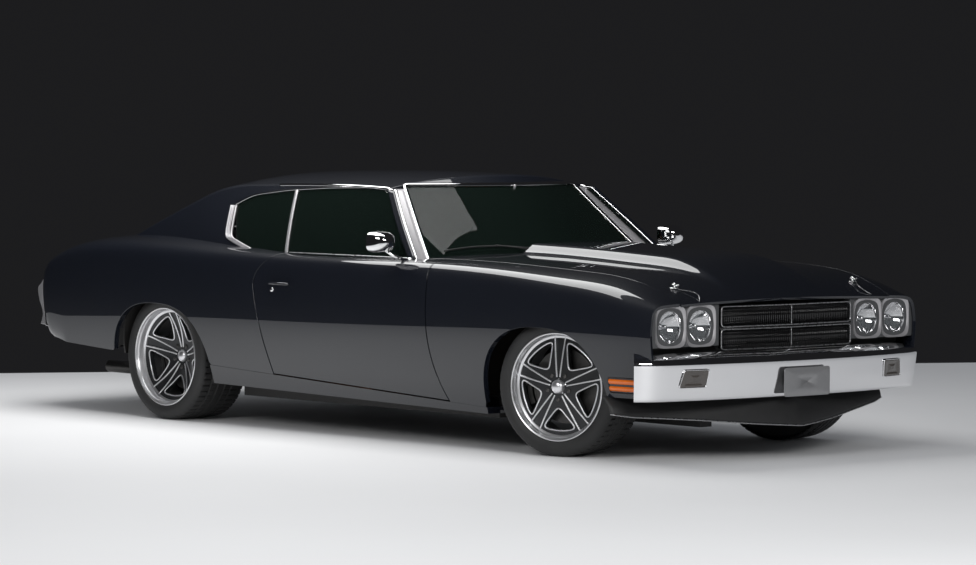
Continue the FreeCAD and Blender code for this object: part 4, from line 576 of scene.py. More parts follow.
class Finish:
    """Builds one material's nodes."""

    def __init__(self, name):
        self.material = bpy.data.materials.new(name)
        self.material.use_nodes = True
        self.tree = self.material.node_tree
        self.shader = self.tree.nodes["Principled BSDF"]
        self.spot = self.node("ShaderNodeTexCoord").outputs["Object"]
        FINISHES[name] = self

    def feed(self, slots, values):
        """Link or set each named input; an underscore stands for a space."""
        for key, value in values.items():
            slot = slots[key.replace("_", " ")]
            if isinstance(value, Shade):
                value = value.socket
            if isinstance(value, bpy.types.NodeSocket):
                self.tree.links.new(value, slot)
            else:
                slot.default_value = value

    def node(self, kind, settings=None, **values):
        made = self.tree.nodes.new(kind)
        for key, value in (settings or {}).items():
            setattr(made, key, value)
        self.feed(made.inputs, values)
        return made

    def set(self, **values):
        self.feed(self.shader.inputs, values)
        return self

    def noise(self, scale, detail=4.0):
        made = self.node("ShaderNodeTexNoise", None, Vector=self.spot, Scale=scale, Detail=detail)
        return Shade(self.tree, made.outputs["Fac"])

    def cells(self, scale):
        made = self.node("ShaderNodeTexVoronoi", None, Vector=self.spot, Scale=scale)
        return Shade(self.tree, made.outputs["Distance"])

    def mix(self, factor, first, second):
        made = self.node("ShaderNodeMix", {"data_type": "RGBA"}, Factor=factor)
        for slot, colour in zip((made.inputs[6], made.inputs[7]), (first, second)):
            slot.default_value = (*colour, 1)
        return made.outputs[2]

    def bump(self, height, strength=0.3, distance=0.001):
        made = self.node("ShaderNodeBump", None, Height=height, Strength=strength, Distance=distance)
        return self.set(Normal=made.outputs[0])


FINISHES = {}


def finish_of(name):
    """The material made under this name."""
    return FINISHES[name].material


def varied(name, base, other, roughness, metallic=0.0, scale=12.0, bump=0.0, bump_scale=180.0, spread=0.06):
    """A finish whose colour and gloss drift a little over the surface, with fine relief."""
    made = Finish(name)
    drift = made.noise(scale)
    gloss = roughness - spread + 2 * spread * drift
    made.set(Base_Color=made.mix(drift, base, other), Roughness=gloss, Metallic=metallic)
    if bump:
        made.bump(made.noise(bump_scale, 6.0), bump)
    return made


def build_finishes(sizes):
    """Every material: two colours that drift into each other, gloss and fine relief."""
    paint = tuple(sizes.paint)
    made = Finish("paint")
    flake = made.cells(1400.0)
    drift = made.noise(3.0)
    made.set(
        Base_Color=made.mix(drift, paint, tuple(1.25 * c for c in paint)),
        Roughness=0.50 + 0.06 * flake, Metallic=0.0, Specular_IOR_Level=0.12,
        Coat_Weight=1.0, Coat_Roughness=0.015, Coat_IOR=1.6,
    )
    made = Finish("glass")
    drift = made.noise(2.0)
    facing = Shade(made.tree, made.node("ShaderNodeFresnel", None, IOR=1.5).outputs[0])
    made.set(
        Base_Color=made.mix(drift, (0.009, 0.016, 0.013), (0.012, 0.020, 0.016)),
        Roughness=0.01 + 0.01 * drift, Alpha=0.24 + 0.8 * facing, Specular_IOR_Level=0.6,
    )
    varied("lens", (0.30, 0.32, 0.33), (0.24, 0.26, 0.27), 0.05, scale=40, spread=0.02).set(Alpha=0.15)
    for name in ("glass", "lens"):
        finish_of(name).surface_render_method = "BLENDED"
    varied("tyre", (0.012, 0.012, 0.0125), (0.024, 0.024, 0.024), 0.62, scale=9, bump=0.25, bump_scale=420)
    varied("alloy", (0.86, 0.86, 0.87), (0.78, 0.78, 0.80), 0.30, 0.92, 30, 0.02, 700, 0.05)
    varied("rim_dark", (0.030, 0.031, 0.033), (0.044, 0.045, 0.047), 0.34, 0.6, 30, 0.05, 600)
    varied("chrome", (0.93, 0.93, 0.94), (0.89, 0.89, 0.90), 0.05, 1.0, 8, 0.0, 100, 0.02)
    varied("black_steel", (0.012, 0.012, 0.012), (0.022, 0.021, 0.020), 0.5, 0.2, 14, 0.2, 160)
    varied("iron", (0.075, 0.075, 0.075), (0.12, 0.115, 0.11), 0.42, 0.9, 40, 0.2, 300)
    varied("smoke", (0.045, 0.040, 0.038), (0.085, 0.075, 0.065), 0.12, scale=160, spread=0.04)
    varied("plate", (0.26, 0.26, 0.265), (0.30, 0.30, 0.305), 0.32, 0.4, 30, 0.04, 400)
    varied("amber", (0.75, 0.16, 0.012), (0.62, 0.12, 0.01), 0.16, scale=60, spread=0.03)
    varied("red", (0.30, 0.006, 0.006), (0.22, 0.004, 0.004), 0.16, scale=60, spread=0.03)
    varied("grey", (0.115, 0.117, 0.120), (0.085, 0.087, 0.090), 0.40, 0.35, 40, 0.08, 500)
    varied("silver", (0.44, 0.44, 0.45), (0.36, 0.36, 0.37), 0.28, 0.85, 60, 0.04, 500)
    varied("satin", (0.50, 0.49, 0.50), (0.44, 0.43, 0.44), 0.32, 0.55, 60, 0.02, 500)
    varied("black", (0.010, 0.010, 0.011), (0.018, 0.018, 0.018), 0.50, scale=30, bump=0.2, bump_scale=700)
    varied("black_gloss", (0.006, 0.006, 0.007), (0.010, 0.010, 0.010), 0.12, scale=20, spread=0.04)
    varied("carpet", (0.020, 0.016, 0.013), (0.034, 0.028, 0.022), 0.9, scale=300, bump=0.6, bump_scale=900)
    for name, coat in (("smoke", 0.8), ("amber", 0.6), ("red", 0.6)):
        FINISHES[name].set(Coat_Weight=coat)
    leather = tuple(sizes.leather)
    made = varied("leather", leather, tuple(0.72 * c for c in leather), 0.42, scale=14, spread=0.08)
    made.bump(made.cells(420.0) + 0.4 * made.noise(60.0), 0.35, 0.0008)


def sided(*names):
    """Each name with _left and with _right."""
    return tuple("%s_%s" % (name, side) for name in names for side, _sign in SIDES)


NODE_FINISH = {
    "paint": ("hood", "trunk_lid", "rockers", "roof", *sided("door", "fender", "quarter")),
    "glass": ("windshield", "back_glass", "quarter_glass", *sided("door_glass")),
    "tyre": sided("tyre_front", "tyre_rear"),
    "alloy": sided("rim_front", "rim_rear"),
    "chrome": ("front_bumper", "rear_bumper", "hood_pins", *sided("mirror")),
    "iron": ("engine", "exhaust", *sided("brake_disc_front", "brake_disc_rear", "knuckle")),
    "lens": ("headlamps",),
    "amber": ("turn_lamps", "side_markers"),
    "red": ("tail_lamps",),
    "grey": ("headlamp_bezels", "grille", "plate"),
    "black": ("front_spoiler", "dashboard", "steering_wheel", "steering_column", "parcel_shelf"),
    "leather": ("front_seats", "rear_seat"),
    "carpet": ("floor",),
    "black_steel": ("frame", "control_arms", "rear_axle", "front_wheelhouses", "rear_wheelhouses",
                    "radiator_support", "tail_panel", "fuel_tank", "cowl"),
}


def dress_nodes():
    """Give each solid its material."""
    for finish, nodes in NODE_FINISH.items():
        for node in nodes:
            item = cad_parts[node]
            item.data.materials.clear()
            item.data.materials.append(finish_of(finish))


# Body panels

ROLL = 0.0028
SKIN = 0.016
DOOR_TOP_SHARE = 0.955
BEFORE, AFTER = 29, 40  # columns of a side panel behind and ahead of its wheel opening
ARCH_COLUMNS = 90


def panel(name, grids, body, nodes, side=1, thickness=SKIN):
    """Patches of one painted panel welded into a sheet with a wall and rounded edges."""
    x = join_grids(grids)[0][:, 0]
    aim = (0.5 * (x.min() + x.max()), 0.0, 0.30)
    solidify(add_piece(name, grids, "paint", body, nodes, aim, side=side), thickness, ROLL)


def column_sheet(x_low, share_low, x_high, edge):
    """Side patch of upright columns from (x_low, share_low) to the lid gap at x_high; edge bends its x."""
    t = row(70)
    x = lerp(x_low[:, None], x_high[:, None], t)
    share = lerp(share_low[:, None], np.ones((len(x_low), 1)), t)
    for _ in range(3):
        x = edge(side_surface(x, share)[..., 2])
    return side_surface(x, share)


def borders(grid):
    """The four edges of a point grid."""
    return grid[0], grid[-1], grid[:, 0], grid[:, -1]


def build_doors():
    """Each door: x runs between its two gap lines at every height, closed by walls and an inner board."""
    t, share = column(90), row(70)
    low = door_low(lerp(X_DOOR_REAR + DOOR_HEEL, X_DOOR_FRONT + DOOR_TOE, t))
    x = lerp(X_DOOR_REAR, X_DOOR_FRONT, t) + 0 * share
    s = lerp(share_at(x[:, :1], low), DOOR_TOP_SHARE, share)
    for _ in range(6):
        z = side_surface(x, s)[..., 2]
        x = lerp(door_rear(z), door_front(z), t)
        s = lerp(share_at(x[:, :1], door_low(x[:, :1])), DOOR_TOP_SHARE, share)
    outer = side_surface(x, s)
    inner = outer - (0, 0.088, 0)
    centre = outer.mean((0, 1))
    inner[..., 0] = centre[0] + (inner[..., 0] - centre[0]) * 0.985
    inner[..., 2] = np.maximum(centre[2] + (inner[..., 2] - centre[2]) * 0.98, 0.310)
    walls = [
        np.stack([lerp(out_edge, in_edge, k) for k in np.linspace(0, 1, 6)])
        for out_edge, in_edge in zip(borders(outer), borders(inner))
    ]
    grids = [outer, inner] + walls
    middle = join_grids(grids)[0].mean(0)
    for name, side in SIDES:
        door = "door_%s" % name
        aim = middle * (1, side, 1)
        item = add_piece(door + "_skin", grids, "paint", door, (door,), aim, side=side)
        round_edges(item, ROLL)


def low_line(x, front):
    """Lower edge of the side panels away from the wheels."""
    if front:
        return np.where(x < X_FRONT_AXLE, door_low(x) - GAP, 0.34 * BELT)
    ahead = 0.36 + (0.44 - 0.36) * (X_REAR_AXLE - x) / (HALF_LENGTH + X_REAR_AXLE)
    return np.where(x > X_REAR_AXLE, door_low(x) - GAP, ahead * BELT)


def wing_columns(x_axle, x_first, x_last, front):
    """x and height of the lower edge of a side panel, following the wheel opening."""
    arch_x, arch_z = arch_line(x_axle, ARCH_COLUMNS)
    keep = arch_z > low_line(arch_x, front)
    arch_x, arch_z = arch_x[keep], arch_z[keep]
    before = np.linspace(x_first, arch_x[0], BEFORE + 1)[:-1]
    after = np.linspace(arch_x[-1], x_last, AFTER)[1:]
    x = np.concatenate([before, arch_x, after])
    z = np.concatenate([low_line(before, front), arch_z, low_line(after, front)])
    return x, z


def wing_lip(x, z):
    """The rolled edge of the wheel opening: the edge carried inwards."""
    arch = slice(BEFORE, BEFORE + ARCH_COLUMNS)
    edge = side_surface(x[arch], share_at(x[arch], z[arch]))
    return np.stack([edge - (0, depth, 0) for depth in np.linspace(0, 0.030, 4)])


def build_fenders():
    """Front fenders: columns from the wheel opening up to the hood gap, bent to the door's front line."""
    x_first = float(door_front(np.array(0.225)) + GAP)
    x, z = wing_columns(X_FRONT_AXLE, x_first, X_NOSE, True)
    arch_x = x[BEFORE]
    top_x = np.concatenate([np.linspace(X_DOOR_FRONT + GAP, arch_x, BEFORE + 1)[:-1], x[BEFORE:]])
    t = np.clip((arch_x - x) / (arch_x - x_first), 0, 1)[:, None]

    def bend(edge_z):
        return np.where(t > 0, lerp(arch_x, door_front(edge_z) + GAP, t), x[:, None] + 0 * edge_z)

    sheet = column_sheet(x, share_at(x, z), top_x, bend)
    for name, side in SIDES:
        panel("fender_%s_skin" % name, [sheet, wing_lip(x, z)], "body", ("fender_%s" % name,), side)


def build_quarters():
    """Quarter panels: columns from the wheel opening up to the lid gap, bent to the door's rear line."""
    x_last = float(door_rear(np.array(0.29)) - GAP)
    x, z = wing_columns(X_REAR_AXLE, X_TAIL, x_last, False)
    arch_x = x[-AFTER]
    top_end = X_DOOR_REAR + 0.10 * DOOR_LENGTH - GAP
    top_x = np.concatenate([x[:-AFTER], np.linspace(arch_x, top_end, AFTER)])
    t = np.clip((x - arch_x) / (x_last - arch_x), 0, 1)[:, None]

    def bend(edge_z):
        return np.where(t > 0, lerp(arch_x, door_rear(edge_z) - GAP, t), x[:, None] + 0 * edge_z)

    sheet = column_sheet(x, share_at(x, z), top_x, bend)
    begin = -0.80 * HALF_LENGTH
    run = np.maximum((begin - sheet[..., 0]) / (begin - X_TAIL), 0)
    sheet[..., 0] += run * (tail_end(sheet[..., 2]) - X_TAIL)
    sheet = tail_turn(sheet)
    for name, side in SIDES:
        panel("quarter_%s_skin" % name, [sheet, wing_lip(x, z)], "body", ("quarter_%s" % name,), side)


def build_lids():
    """Hood and trunk lid: x between the end lines, y as a share of the gap's half width."""
    t, share = column(110), row(121, -1, 1)
    half = gap_width(X_HOOD_FRONT) + 0 * t * share
    for _ in range(12):
        x = lerp(hood_rear(share * half) + GAP, X_HOOD_FRONT - GAP, t)
        half = gap_width(x) - GAP
    panel("hood_skin", [top_surface(x, share * half, 1.0)], "hood", ("hood",))
    y = share * (gap_width(0.36 * HALF_LENGTH) - GAP)
    x = lerp(0.370 * HALF_LENGTH - glass_bow(y), hood_rear(y) - GAP, column(12))
    panel("cowl_sheet", [top_surface(x, y) - (0, 0, 0.004)], "body", ("cowl",), thickness=0.006)
    x = lerp(X_DECK_REAR + GAP, X_DECK_FRONT - GAP, t) + 0 * share
    lid = tail_turn(top_surface(x, share * (gap_width(x) - GAP)))
    panel("trunk_skin", [lid], "trunk", ("trunk_lid",))


# Cabin and glass


def meet_side(x):
    """Where the roof meets the cabin side at each x, by turns between the two surfaces."""
    z = 0.93 * ROOF + 0 * x
    for _ in range(30):
        y = cabin_side(x, z)[..., 1]
        z = roof_surface(x, y)[..., 2]
    return y, z


def meet_screen(y):
    """x at which the roof meets the windshield at each y."""
    x = 0.20 * HALF_LENGTH + 0 * y
    for _ in range(40):
        z = roof_surface(x, y)[..., 2]
        x = 0.5 * x + 0.5 * windshield_surface(y, z)[..., 0]
    return x


def screen_side(z):
    """Corner of the cabin side and the windshield surface at height z."""
    x = 0.3 * HALF_LENGTH + 0 * z
    for _ in range(40):
        y = cabin_side(x, z)[..., 1]
        x = 0.5 * x + 0.5 * windshield_surface(y, z)[..., 0]
    return x, y


def find_top(count):
    """x and height at which roof, windshield and cabin side meet, from a table of count rows."""
    z = np.linspace(BELT, ROOF, count)
    x, y = screen_side(z)
    z_top = float(np.interp(0, z - roof_surface(x, y)[:, 2], z))
    return float(np.interp(z_top, z, x)), z_top


WINDOW = np.array((
    (0.288, 0.6818), (0.150, 0.934), (0.07, 0.944), (-0.05, 0.938), (-0.17, 0.925),
    (-0.275, 0.902), (-0.325, 0.862), (-0.302, 0.735), (-0.20, 0.6818),
)) * (HALF_LENGTH, ROOF)


def window_edges():
    """Front, top and rear edges of the side window in side view."""
    front = resample(WINDOW[:2], 30)
    top = round_line(WINDOW[1:7], 60, 6)
    rear = round_line(WINDOW[[8, 7, 6]], 30, 3)
    return front, top, rear


def screen_half(z):
    """Half width of the windshield glass at height z."""
    return lerp(0.748, 0.588, (z - BELT) / (0.955 * ROOF - BELT)) * HALF_WIDTH


def glass_side(t):
    """Half width of the back window along its height share t."""
    return lerp(0.56, 0.50, t) * HALF_WIDTH


def build_cabin():
    """Roof skin, side rails, windshield pillars and sails, ruled between window and roof edges."""
    share = row(81, -1, 1)
    t = column(90)
    x = lerp(X_BACK_TOP, 0.20 * HALF_LENGTH, t) + 0 * share
    for _ in range(12):
        edge, _z = meet_side(x)
        x = lerp(X_BACK_TOP, meet_screen(share * edge[-1:]), t)
    edge, _z = meet_side(x)
    grids = [roof_surface(x, share * edge)]
    # beside and behind the back window
    t = column(50)
    x = lerp(X_BACK_LOW, X_BACK_TOP, t)
    edge, _z = meet_side(x)
    beside = roof_surface(x + 0 * row(24), lerp(glass_side(t), edge, row(24)))
    grids += [beside, mirror_points(beside)]
    x = lerp(X_DECK_FRONT, X_BACK_LOW, column(6)) + 0 * share
    edge, _z = meet_side(x)
    grids.append(roof_surface(x, share * edge))
    # rails over the side windows
    front, top, rear = window_edges()
    x_top, z_top = find_top(200)
    x_rail_end = rear[-1, 0] - 0.10
    t = np.linspace(0, 1, 60)
    x = lerp(x_top, x_rail_end, t)
    _y, z = meet_side(x)
    side_parts = [ruled(top, np.stack([x, z], -1), 8)]
    # windshield pillars
    z = lerp(front[0, 1], z_top, np.linspace(0, 1, 30))
    x, _y = screen_side(z)
    side_parts.append(ruled(front, np.stack([x, z], -1), 8))
    # sails behind the side windows
    x = lerp(rear[0, 0], X_DECK_FRONT, t)
    foot = np.stack([x, BELT - 0.02 + 0 * x], -1)
    x = lerp(x_rail_end, X_DECK_FRONT, t)
    _y, z = meet_side(x)
    head = np.stack([x, z], -1)
    left = np.concatenate([resample(rear, 29), lerp(rear[-1], head[0], column(8)[1:])])
    right = lerp(foot[-1], head[-1], column(36))
    foot[0] = left[0]
    side_parts.append(coons(foot, head, left, right))
    for part in side_parts:
        shape = cabin_side(part[..., 0], part[..., 1])
        grids += [shape, mirror_points(shape)]
    # faces of the pillars beside the windshield
    z = column(40, BELT - 0.02, z_top)
    _x, outer = screen_side(z)
    y = lerp(screen_half(z), outer, row(8))
    face = windshield_surface(y, z + 0 * y)
    grids += [face, mirror_points(face)]
    # header over the windshield
    y = row(61, -1, 1) * screen_half(SCREEN_TOP)
    z_up = roof_surface(meet_screen(y), y)[..., 2]
    z = lerp(SCREEN_TOP, z_up, column(6))
    grids.append(windshield_surface(y + 0 * z, z))
    item = add_piece("roof_skin", grids, "paint", "body", ("roof",), (-0.3, 0.0, 0.75), 32)
    solidify(item, 0.020)


def divider_x(z):
    """x of the bar between door glass and quarter glass, leaning back with height."""
    return X_DIVIDER + 0.015 - 0.34 * (z - BELT)


def build_glass():
    """Windshield and side windows: sheets on the cabin's own surfaces, inside the window outlines."""
    wall = 0.005
    z = lerp(BELT - 0.020, 0.957 * ROOF, column(60))
    share = row(90, -1, 1)
    screen = windshield_surface(share * (screen_half(z) + 0.006), z + 0 * share) - (0.004, 0, 0.003)
    aim = (-0.2, 0, 0.9)
    item = add_piece("windshield_sheet", [screen], "glass", "body", ("windshield",), aim)
    solidify(item, wall)
    front, top, rear = window_edges()
    outline = np.concatenate([front, top[1:]])
    outline = outline[np.argsort(outline[:, 0])]
    low_x = lerp(X_DIVIDER + 0.018, WINDOW[0, 0], column(70))
    door = (low_x, BELT - 0.030 + 0 * low_x, lerp(X_DIVIDER_TOP - 0.085, WINDOW[1, 0], column(70)))
    low_x = lerp(WINDOW[5, 0], X_DIVIDER + 0.010, column(50))
    low_z = np.interp(low_x, rear[::-1, 0], rear[::-1, 1])
    low_z = np.where(low_x > WINDOW[8, 0], BELT - 0.004, low_z) - 0.004
    quarter = (low_x, low_z, lerp(WINDOW[6, 0], X_DIVIDER_TOP - 0.090, column(50)))
    for name, side in SIDES:
        for kind, body, nodes, (low_x, low_z, top_x) in (
            ("door_glass", "door_%s" % name, ("door_glass_%s" % name,), door),
            ("quarter_glass", "body", ("quarter_glass",) if side > 0 else (), quarter),
        ):
            x = lerp(low_x, top_x, row(50))
            top_z = np.interp(top_x, outline[:, 0], outline[:, 1]) + 0.004
            sheet = cabin_side(x, lerp(low_z, top_z, row(50))) - (0, 0.006, 0)
            title = "%s_%s_sheet" % (kind, name)
            aim = (x.mean(), 0, 0.9)
            item = add_piece(title, [sheet], "glass", body, nodes, aim, side=side)
            solidify(item, wall)


# Wheels

SPOKES = 5
SPOKE_STEP = 2 * math.pi / SPOKES
FIRST_SPOKE = math.radians(18)
FIRST_WINDOW = math.radians(54)
FACE_RADIUS = 0.2275
WHEEL_FACE = {"front": (0.034, 0.016, 0.010), "rear": (0.046, -0.070, 0.006)}  # depth, dome, cap's seat

TREAD_ROWS = 58
TREAD_BLOCKS = 60
WALL_RADII = np.array((0.2425, 0.2475, 0.256, 0.268, 0.282, 0.296, 0.307, 0.3145, 0.3190))
WALL_OUT = np.array((-0.012, -0.003, 0.003, 0.0075, 0.0088, 0.0062, 0.0005, -0.0070, -0.0150))
GROOVES = (-0.48, -0.17, 0.17, 0.48)

WINDOW_CORNERS = np.array((
    (0.0, 0.0895), (0.0455, 0.139), (0.0915, 0.189), (0.060, 0.199), (0.0, 0.2045),
    (-0.060, 0.199), (-0.0915, 0.189), (-0.0455, 0.139), (0.0, 0.0895),
))
CAP = (
    (TIP, 0.0155), (0.010, 0.0150), (0.018, 0.0130), (0.025, 0.0090), (0.030, 0.0035), (0.0325, -0.004),
    (0.0335, -0.012), (0.0375, -0.014), (0.0400, -0.017), (0.0400, -0.026), (TIP, -0.026),
)
NUT = (
    (TIP, 0.010), (0.0085, 0.010), (0.0095, 0.0085), (0.0098, 0.0), (0.0145, -0.0005), (0.0155, -0.0035),
    (0.0155, -0.010), (TIP, -0.010),
)


def lip_profile(deep):
    """Lip, step and barrel of a rim whose face lies deep behind the lip."""
    return (
        (0.2500, -0.0100), (0.2515, -0.0030), (0.2500, 0.0015), (0.2462, 0.0030), (0.2425, 0.0012),
        (0.2408, -0.0030), (0.2400, -0.0090), (0.2375, -0.0130), (0.2360, -0.0160),
        (0.2350, -deep + 0.012), (0.2330, -deep + 0.006), (0.2285, -deep + 0.0035),
        (0.2240, -deep + 0.0005), (0.2240, -deep - 0.010), (0.2300, -deep - 0.030), (0.2330, -0.170),
        (0.2370, -0.205), (0.2400, -0.205), (0.2400, -0.020),
    )


def wheel_frames():
    """Each wheel's end and side, and its face centre, outward axis and forward direction."""
    frames = []
    for end, x_axle, turn in (("front", X_FRONT_AXLE, STEER_REST), ("rear", X_REAR_AXLE, 0.0)):
        for side, sign in SIDES:
            axis = np.array((-math.sin(turn), math.cos(turn), 0.0)) * sign
            ahead = np.array((math.cos(turn), math.sin(turn), 0.0))
            kingpin = np.array((x_axle, sign * KINGPIN, TYRE_RADIUS))
            frames.append((end, side, (kingpin + axis * (RIM_FACE[end] - KINGPIN), axis, ahead)))
    return frames


def on_wheel(centre, axis, ahead, radius, angle, out):
    """Point at a radius, angle and outward distance from the wheel's face centre."""
    up = np.array((0.0, 0.0, 1.0))
    radius, angle, out = (np.asarray(v, float)[..., None] for v in (radius, angle, out))
    return centre + radius * (np.cos(angle) * ahead + np.sin(angle) * up) + out * axis


def tyre_grid(end, where):
    """Tyre: a round-shouldered profile turned about the axle, with grooves and blocks cut in by steps."""
    width = TYRE_WIDTH[end]
    tread_out = np.linspace(-0.022, -width + 0.004, TREAD_ROWS)
    across = (tread_out - (0.009 - 0.5 * width)) / (0.5 * width)
    radius = np.concatenate([WALL_RADII, 0.3219 - 0.0028 * np.abs(across) ** 4, WALL_RADII[::-1]])[:, None]
    out = np.concatenate([WALL_OUT, tread_out, 0.018 - width - WALL_OUT[::-1]])[:, None]
    angle = np.linspace(0, 2 * math.pi, 360, endpoint=False)[None]
    block = angle * TREAD_BLOCKS / (2 * math.pi) % 1.0
    spot = np.full(radius.shape, np.nan)  # share of the half width, nothing off the tread
    spot[len(WALL_RADII):-len(WALL_RADII), 0] = across
    off = np.abs(spot)
    groove = np.any([np.abs(spot - place_on) < 0.036 for place_on in GROOVES], axis=0)
    between = (block + 0.35 * off) % 1.0 < 0.17
    outer_cut = between & (off > 0.52)
    inner_cut = between & (off < 0.44) & (off > 0.21) & ~groove
    r = radius - 0.0065 * (groove | outer_cut) - 0.0035 * inner_cut
    r = r - 0.0016 * ((out > -0.020) & (radius > 0.312) & (block < 0.25))
    return (on_wheel(*where, r, angle + 0 * r, out + 0 * r), True, True)


def window_outline(grow, count=90):
    """Rounded triangle between two spokes, as (across, along) from the wheel's centre."""
    line = ease_closed(resample(WINDOW_CORNERS, count + 1)[:-1], 26)
    ahead = unit(np.roll(line, -1, 0) - np.roll(line, 1, 0))
    return line + grow * np.stack([ahead[:, 1], -ahead[:, 0]], -1)


def inside_window(across, along):
    """True where a point lies inside the eased triangle, by crossing counts over its edges."""
    line = window_outline(-0.002)
    after = np.roll(line, -1, 0)
    inside = np.zeros(across.shape, bool)
    for (x0, y0), (x1, y1) in zip(line, after):
        hit = ((y0 > along) != (y1 > along)) & (across < (x1 - x0) * (along - y0) / (y1 - y0 + 1e-12) + x0)
        inside ^= hit
    return inside


def spoke_half(along):
    """Half width of a spoke's middle channel, growing outwards."""
    return 0.0075 + (along - 0.05) / 0.175 * 0.0195


def face_out(radius, deep, dome):
    """Outward distance of the domed wheel face."""
    return -deep + dome * (1 - (radius / FACE_RADIUS) ** 2)


def wheel_face(where, deep, dome):
    """Dark face: a dome with a channel pressed in along each spoke, open inside the windows."""
    count, rings = 400, 46
    edge_width, depth = 0.004, 0.005
    angle = np.linspace(0, 2 * math.pi, count, endpoint=False)[None]
    radius = column(rings, 0.030, FACE_RADIUS)
    sector = (angle - FIRST_SPOKE) % SPOKE_STEP
    sector = np.minimum(sector, SPOKE_STEP - sector)
    inside = spoke_half(radius * np.cos(sector)) - radius * np.sin(sector)
    out = face_out(radius, deep, dome) - depth * soft_step(inside / edge_width)
    quads = grid_faces(rings, count, 0, False, True)
    turned = (angle - FIRST_WINDOW) % SPOKE_STEP
    turned = np.where(turned > SPOKE_STEP / 2, turned - SPOKE_STEP, turned)
    hole = inside_window(radius * np.sin(turned), radius * np.cos(turned)).ravel()
    points = on_wheel(*where, radius + 0 * angle, angle + 0 * radius, out)
    return points.reshape(-1, 3), quads[~hole[quads].all(1)]


def on_face(where, deep, dome, spot, turn, lift):
    """Points at (across, along) on the domed face, turned by an angle and lifted off it."""
    across, along = spot
    radius = np.hypot(across, along)
    return on_wheel(*where, radius, turn + np.arctan2(across, along), face_out(radius, deep, dome) + lift)


def build_wheels():
    """Five-spoke wheels: a dark face with windows, bright beads and a polished stepped lip."""
    reach = np.linspace(0.044, 0.2235, 26)
    for end, side, where in wheel_frames():
        wheel = "%s_%s" % (end, side)
        body = "wheel_" + wheel
        centre, axis, ahead = where
        deep, dome, seat = WHEEL_FACE[end]
        points, faces = join_grids([tyre_grid(end, where)])
        mesh = make_mesh("tyre_%s_tread" % wheel, points, faces, weld=False, aim=centre - 0.12 * axis)
        mesh.set_sharp_from_angle(angle=math.radians(40))
        place(mesh.name, mesh, "tyre", body, ("tyre_" + wheel,))
        beads, walls, nuts = [], [], []
        for k in range(SPOKES):
            middle = FIRST_WINDOW + k * SPOKE_STEP
            spot = on_face(where, deep, dome, window_outline(0.0).T, middle, 0.0005)
            beads.append(closed_strip(spot, axis, 0.0076, 0.0040))
            walls.append((np.stack([spot, spot - 0.012 * axis, spot - 0.030 * axis]), False, True))
            for sign in (-1, 1):
                line = (sign * (spoke_half(reach) + 0.0012), reach)
                spot = on_face(where, deep, dome, line, FIRST_SPOKE + k * SPOKE_STEP, 0.0010)
                beads += strip(spot, axis, 0.0080, 0.0048)
            spot = on_wheel(*where, 0.0603, middle, -deep + 0.93 * dome - 0.004)
            nuts.append(spun(NUT, spot, axis, ahead, 24))
        points, faces = wheel_face(where, deep, dome)
        wall_points, wall_faces = join_grids(walls)
        faces = np.concatenate([faces, wall_faces + len(points)])
        points = np.concatenate([points, wall_points])
        mesh = make_mesh("rim_%s_face" % wheel, points, faces, aim=centre - 0.3 * axis)
        place(mesh.name, mesh, "rim_dark", body)
        add_piece("rim_%s_beads" % wheel, beads, "alloy", body)
        cap = [(r, h + dome - deep + seat) for r, h in CAP]
        grids = [spun(lip_profile(deep), *where, 160, True), spun(cap, *where, 64)]
        add_piece("rim_%s_lip" % wheel, grids, "alloy", body, ("rim_" + wheel,), sharp=38)
        add_piece("nuts_%s" % wheel, nuts, "iron", body)


# Nose: lamps, grille, bumpers, plate and pins

AHEAD, ACROSS, UPWARD = (1, 0, 0), (0, 1, 0), (0, 0, 1)
BULB = ((TIP, 0.030), (0.008, 0.028), (0.011, 0.020), (0.011, 0.0), (TIP, 0.0))
LAMP_RING = (
    (0.0700, -0.006), (0.0705, 0.003), (0.0725, 0.0075), (0.0755, 0.0085), (0.0785, 0.006), (0.0795, 0.000),
    (0.0790, -0.012), (0.0715, -0.014),
)
FRONT_SECTION = np.array((
    (0.074, 0.506), (0.040, 0.492), (0.006, 0.470), (0.001, 0.462), (0.002, 0.440), (0.012, 0.360),
    (0.024, 0.286), (0.046, 0.286), (0.046, 0.296), (0.026, 0.360), (0.018, 0.448), (0.074, 0.492),
))
REAR_SECTION = np.array((
    (0.074, 0.690), (0.012, 0.690), (0.001, 0.654), (0.004, 0.560), (0.012, 0.473), (0.074, 0.473),
    (0.074, 0.485), (0.024, 0.484), (0.013, 0.654), (0.024, 0.678), (0.074, 0.678),
))
TURN_LAMP = ((0.590, 0.348), (0.735, 0.348), (0.715, 0.428), (0.580, 0.428))
LENS_RADIUS, BOWL_RADIUS = 0.0705, 0.0715
PLATE_BOLT = ((TIP, 0.0028), (0.004, 0.0026), (0.0062, 0.0010), (0.0064, -0.0010), (TIP, -0.0010))
PIN_PLATE = ((TIP, 0.004), (0.012, 0.004), (0.016, 0.0025), (0.024, 0.0015), (0.026, -0.002), (TIP, -0.002))
PIN_POST = ((TIP, 0.024), (0.004, 0.023), (0.0055, 0.020), (0.0055, 0.0), (TIP, 0.0))


def ring_grid(y, z, x_in, r_in, x_out, half, power, rows=10, sides=96):
    """A dished ring from a circle to a rounded square, by blending the two outlines."""
    a = np.linspace(0, 2 * math.pi, sides, endpoint=False)
    c, s = np.cos(a), np.sin(a)
    square = half / (np.abs(c) ** power + np.abs(s) ** power) ** (1 / power)
    t = column(rows)
    r = lerp(r_in, square[None], t)
    x = lerp(x_in, x_out, t ** 0.6)
    return np.stack([x + 0 * r, y + r * c, z + r * s], -1)


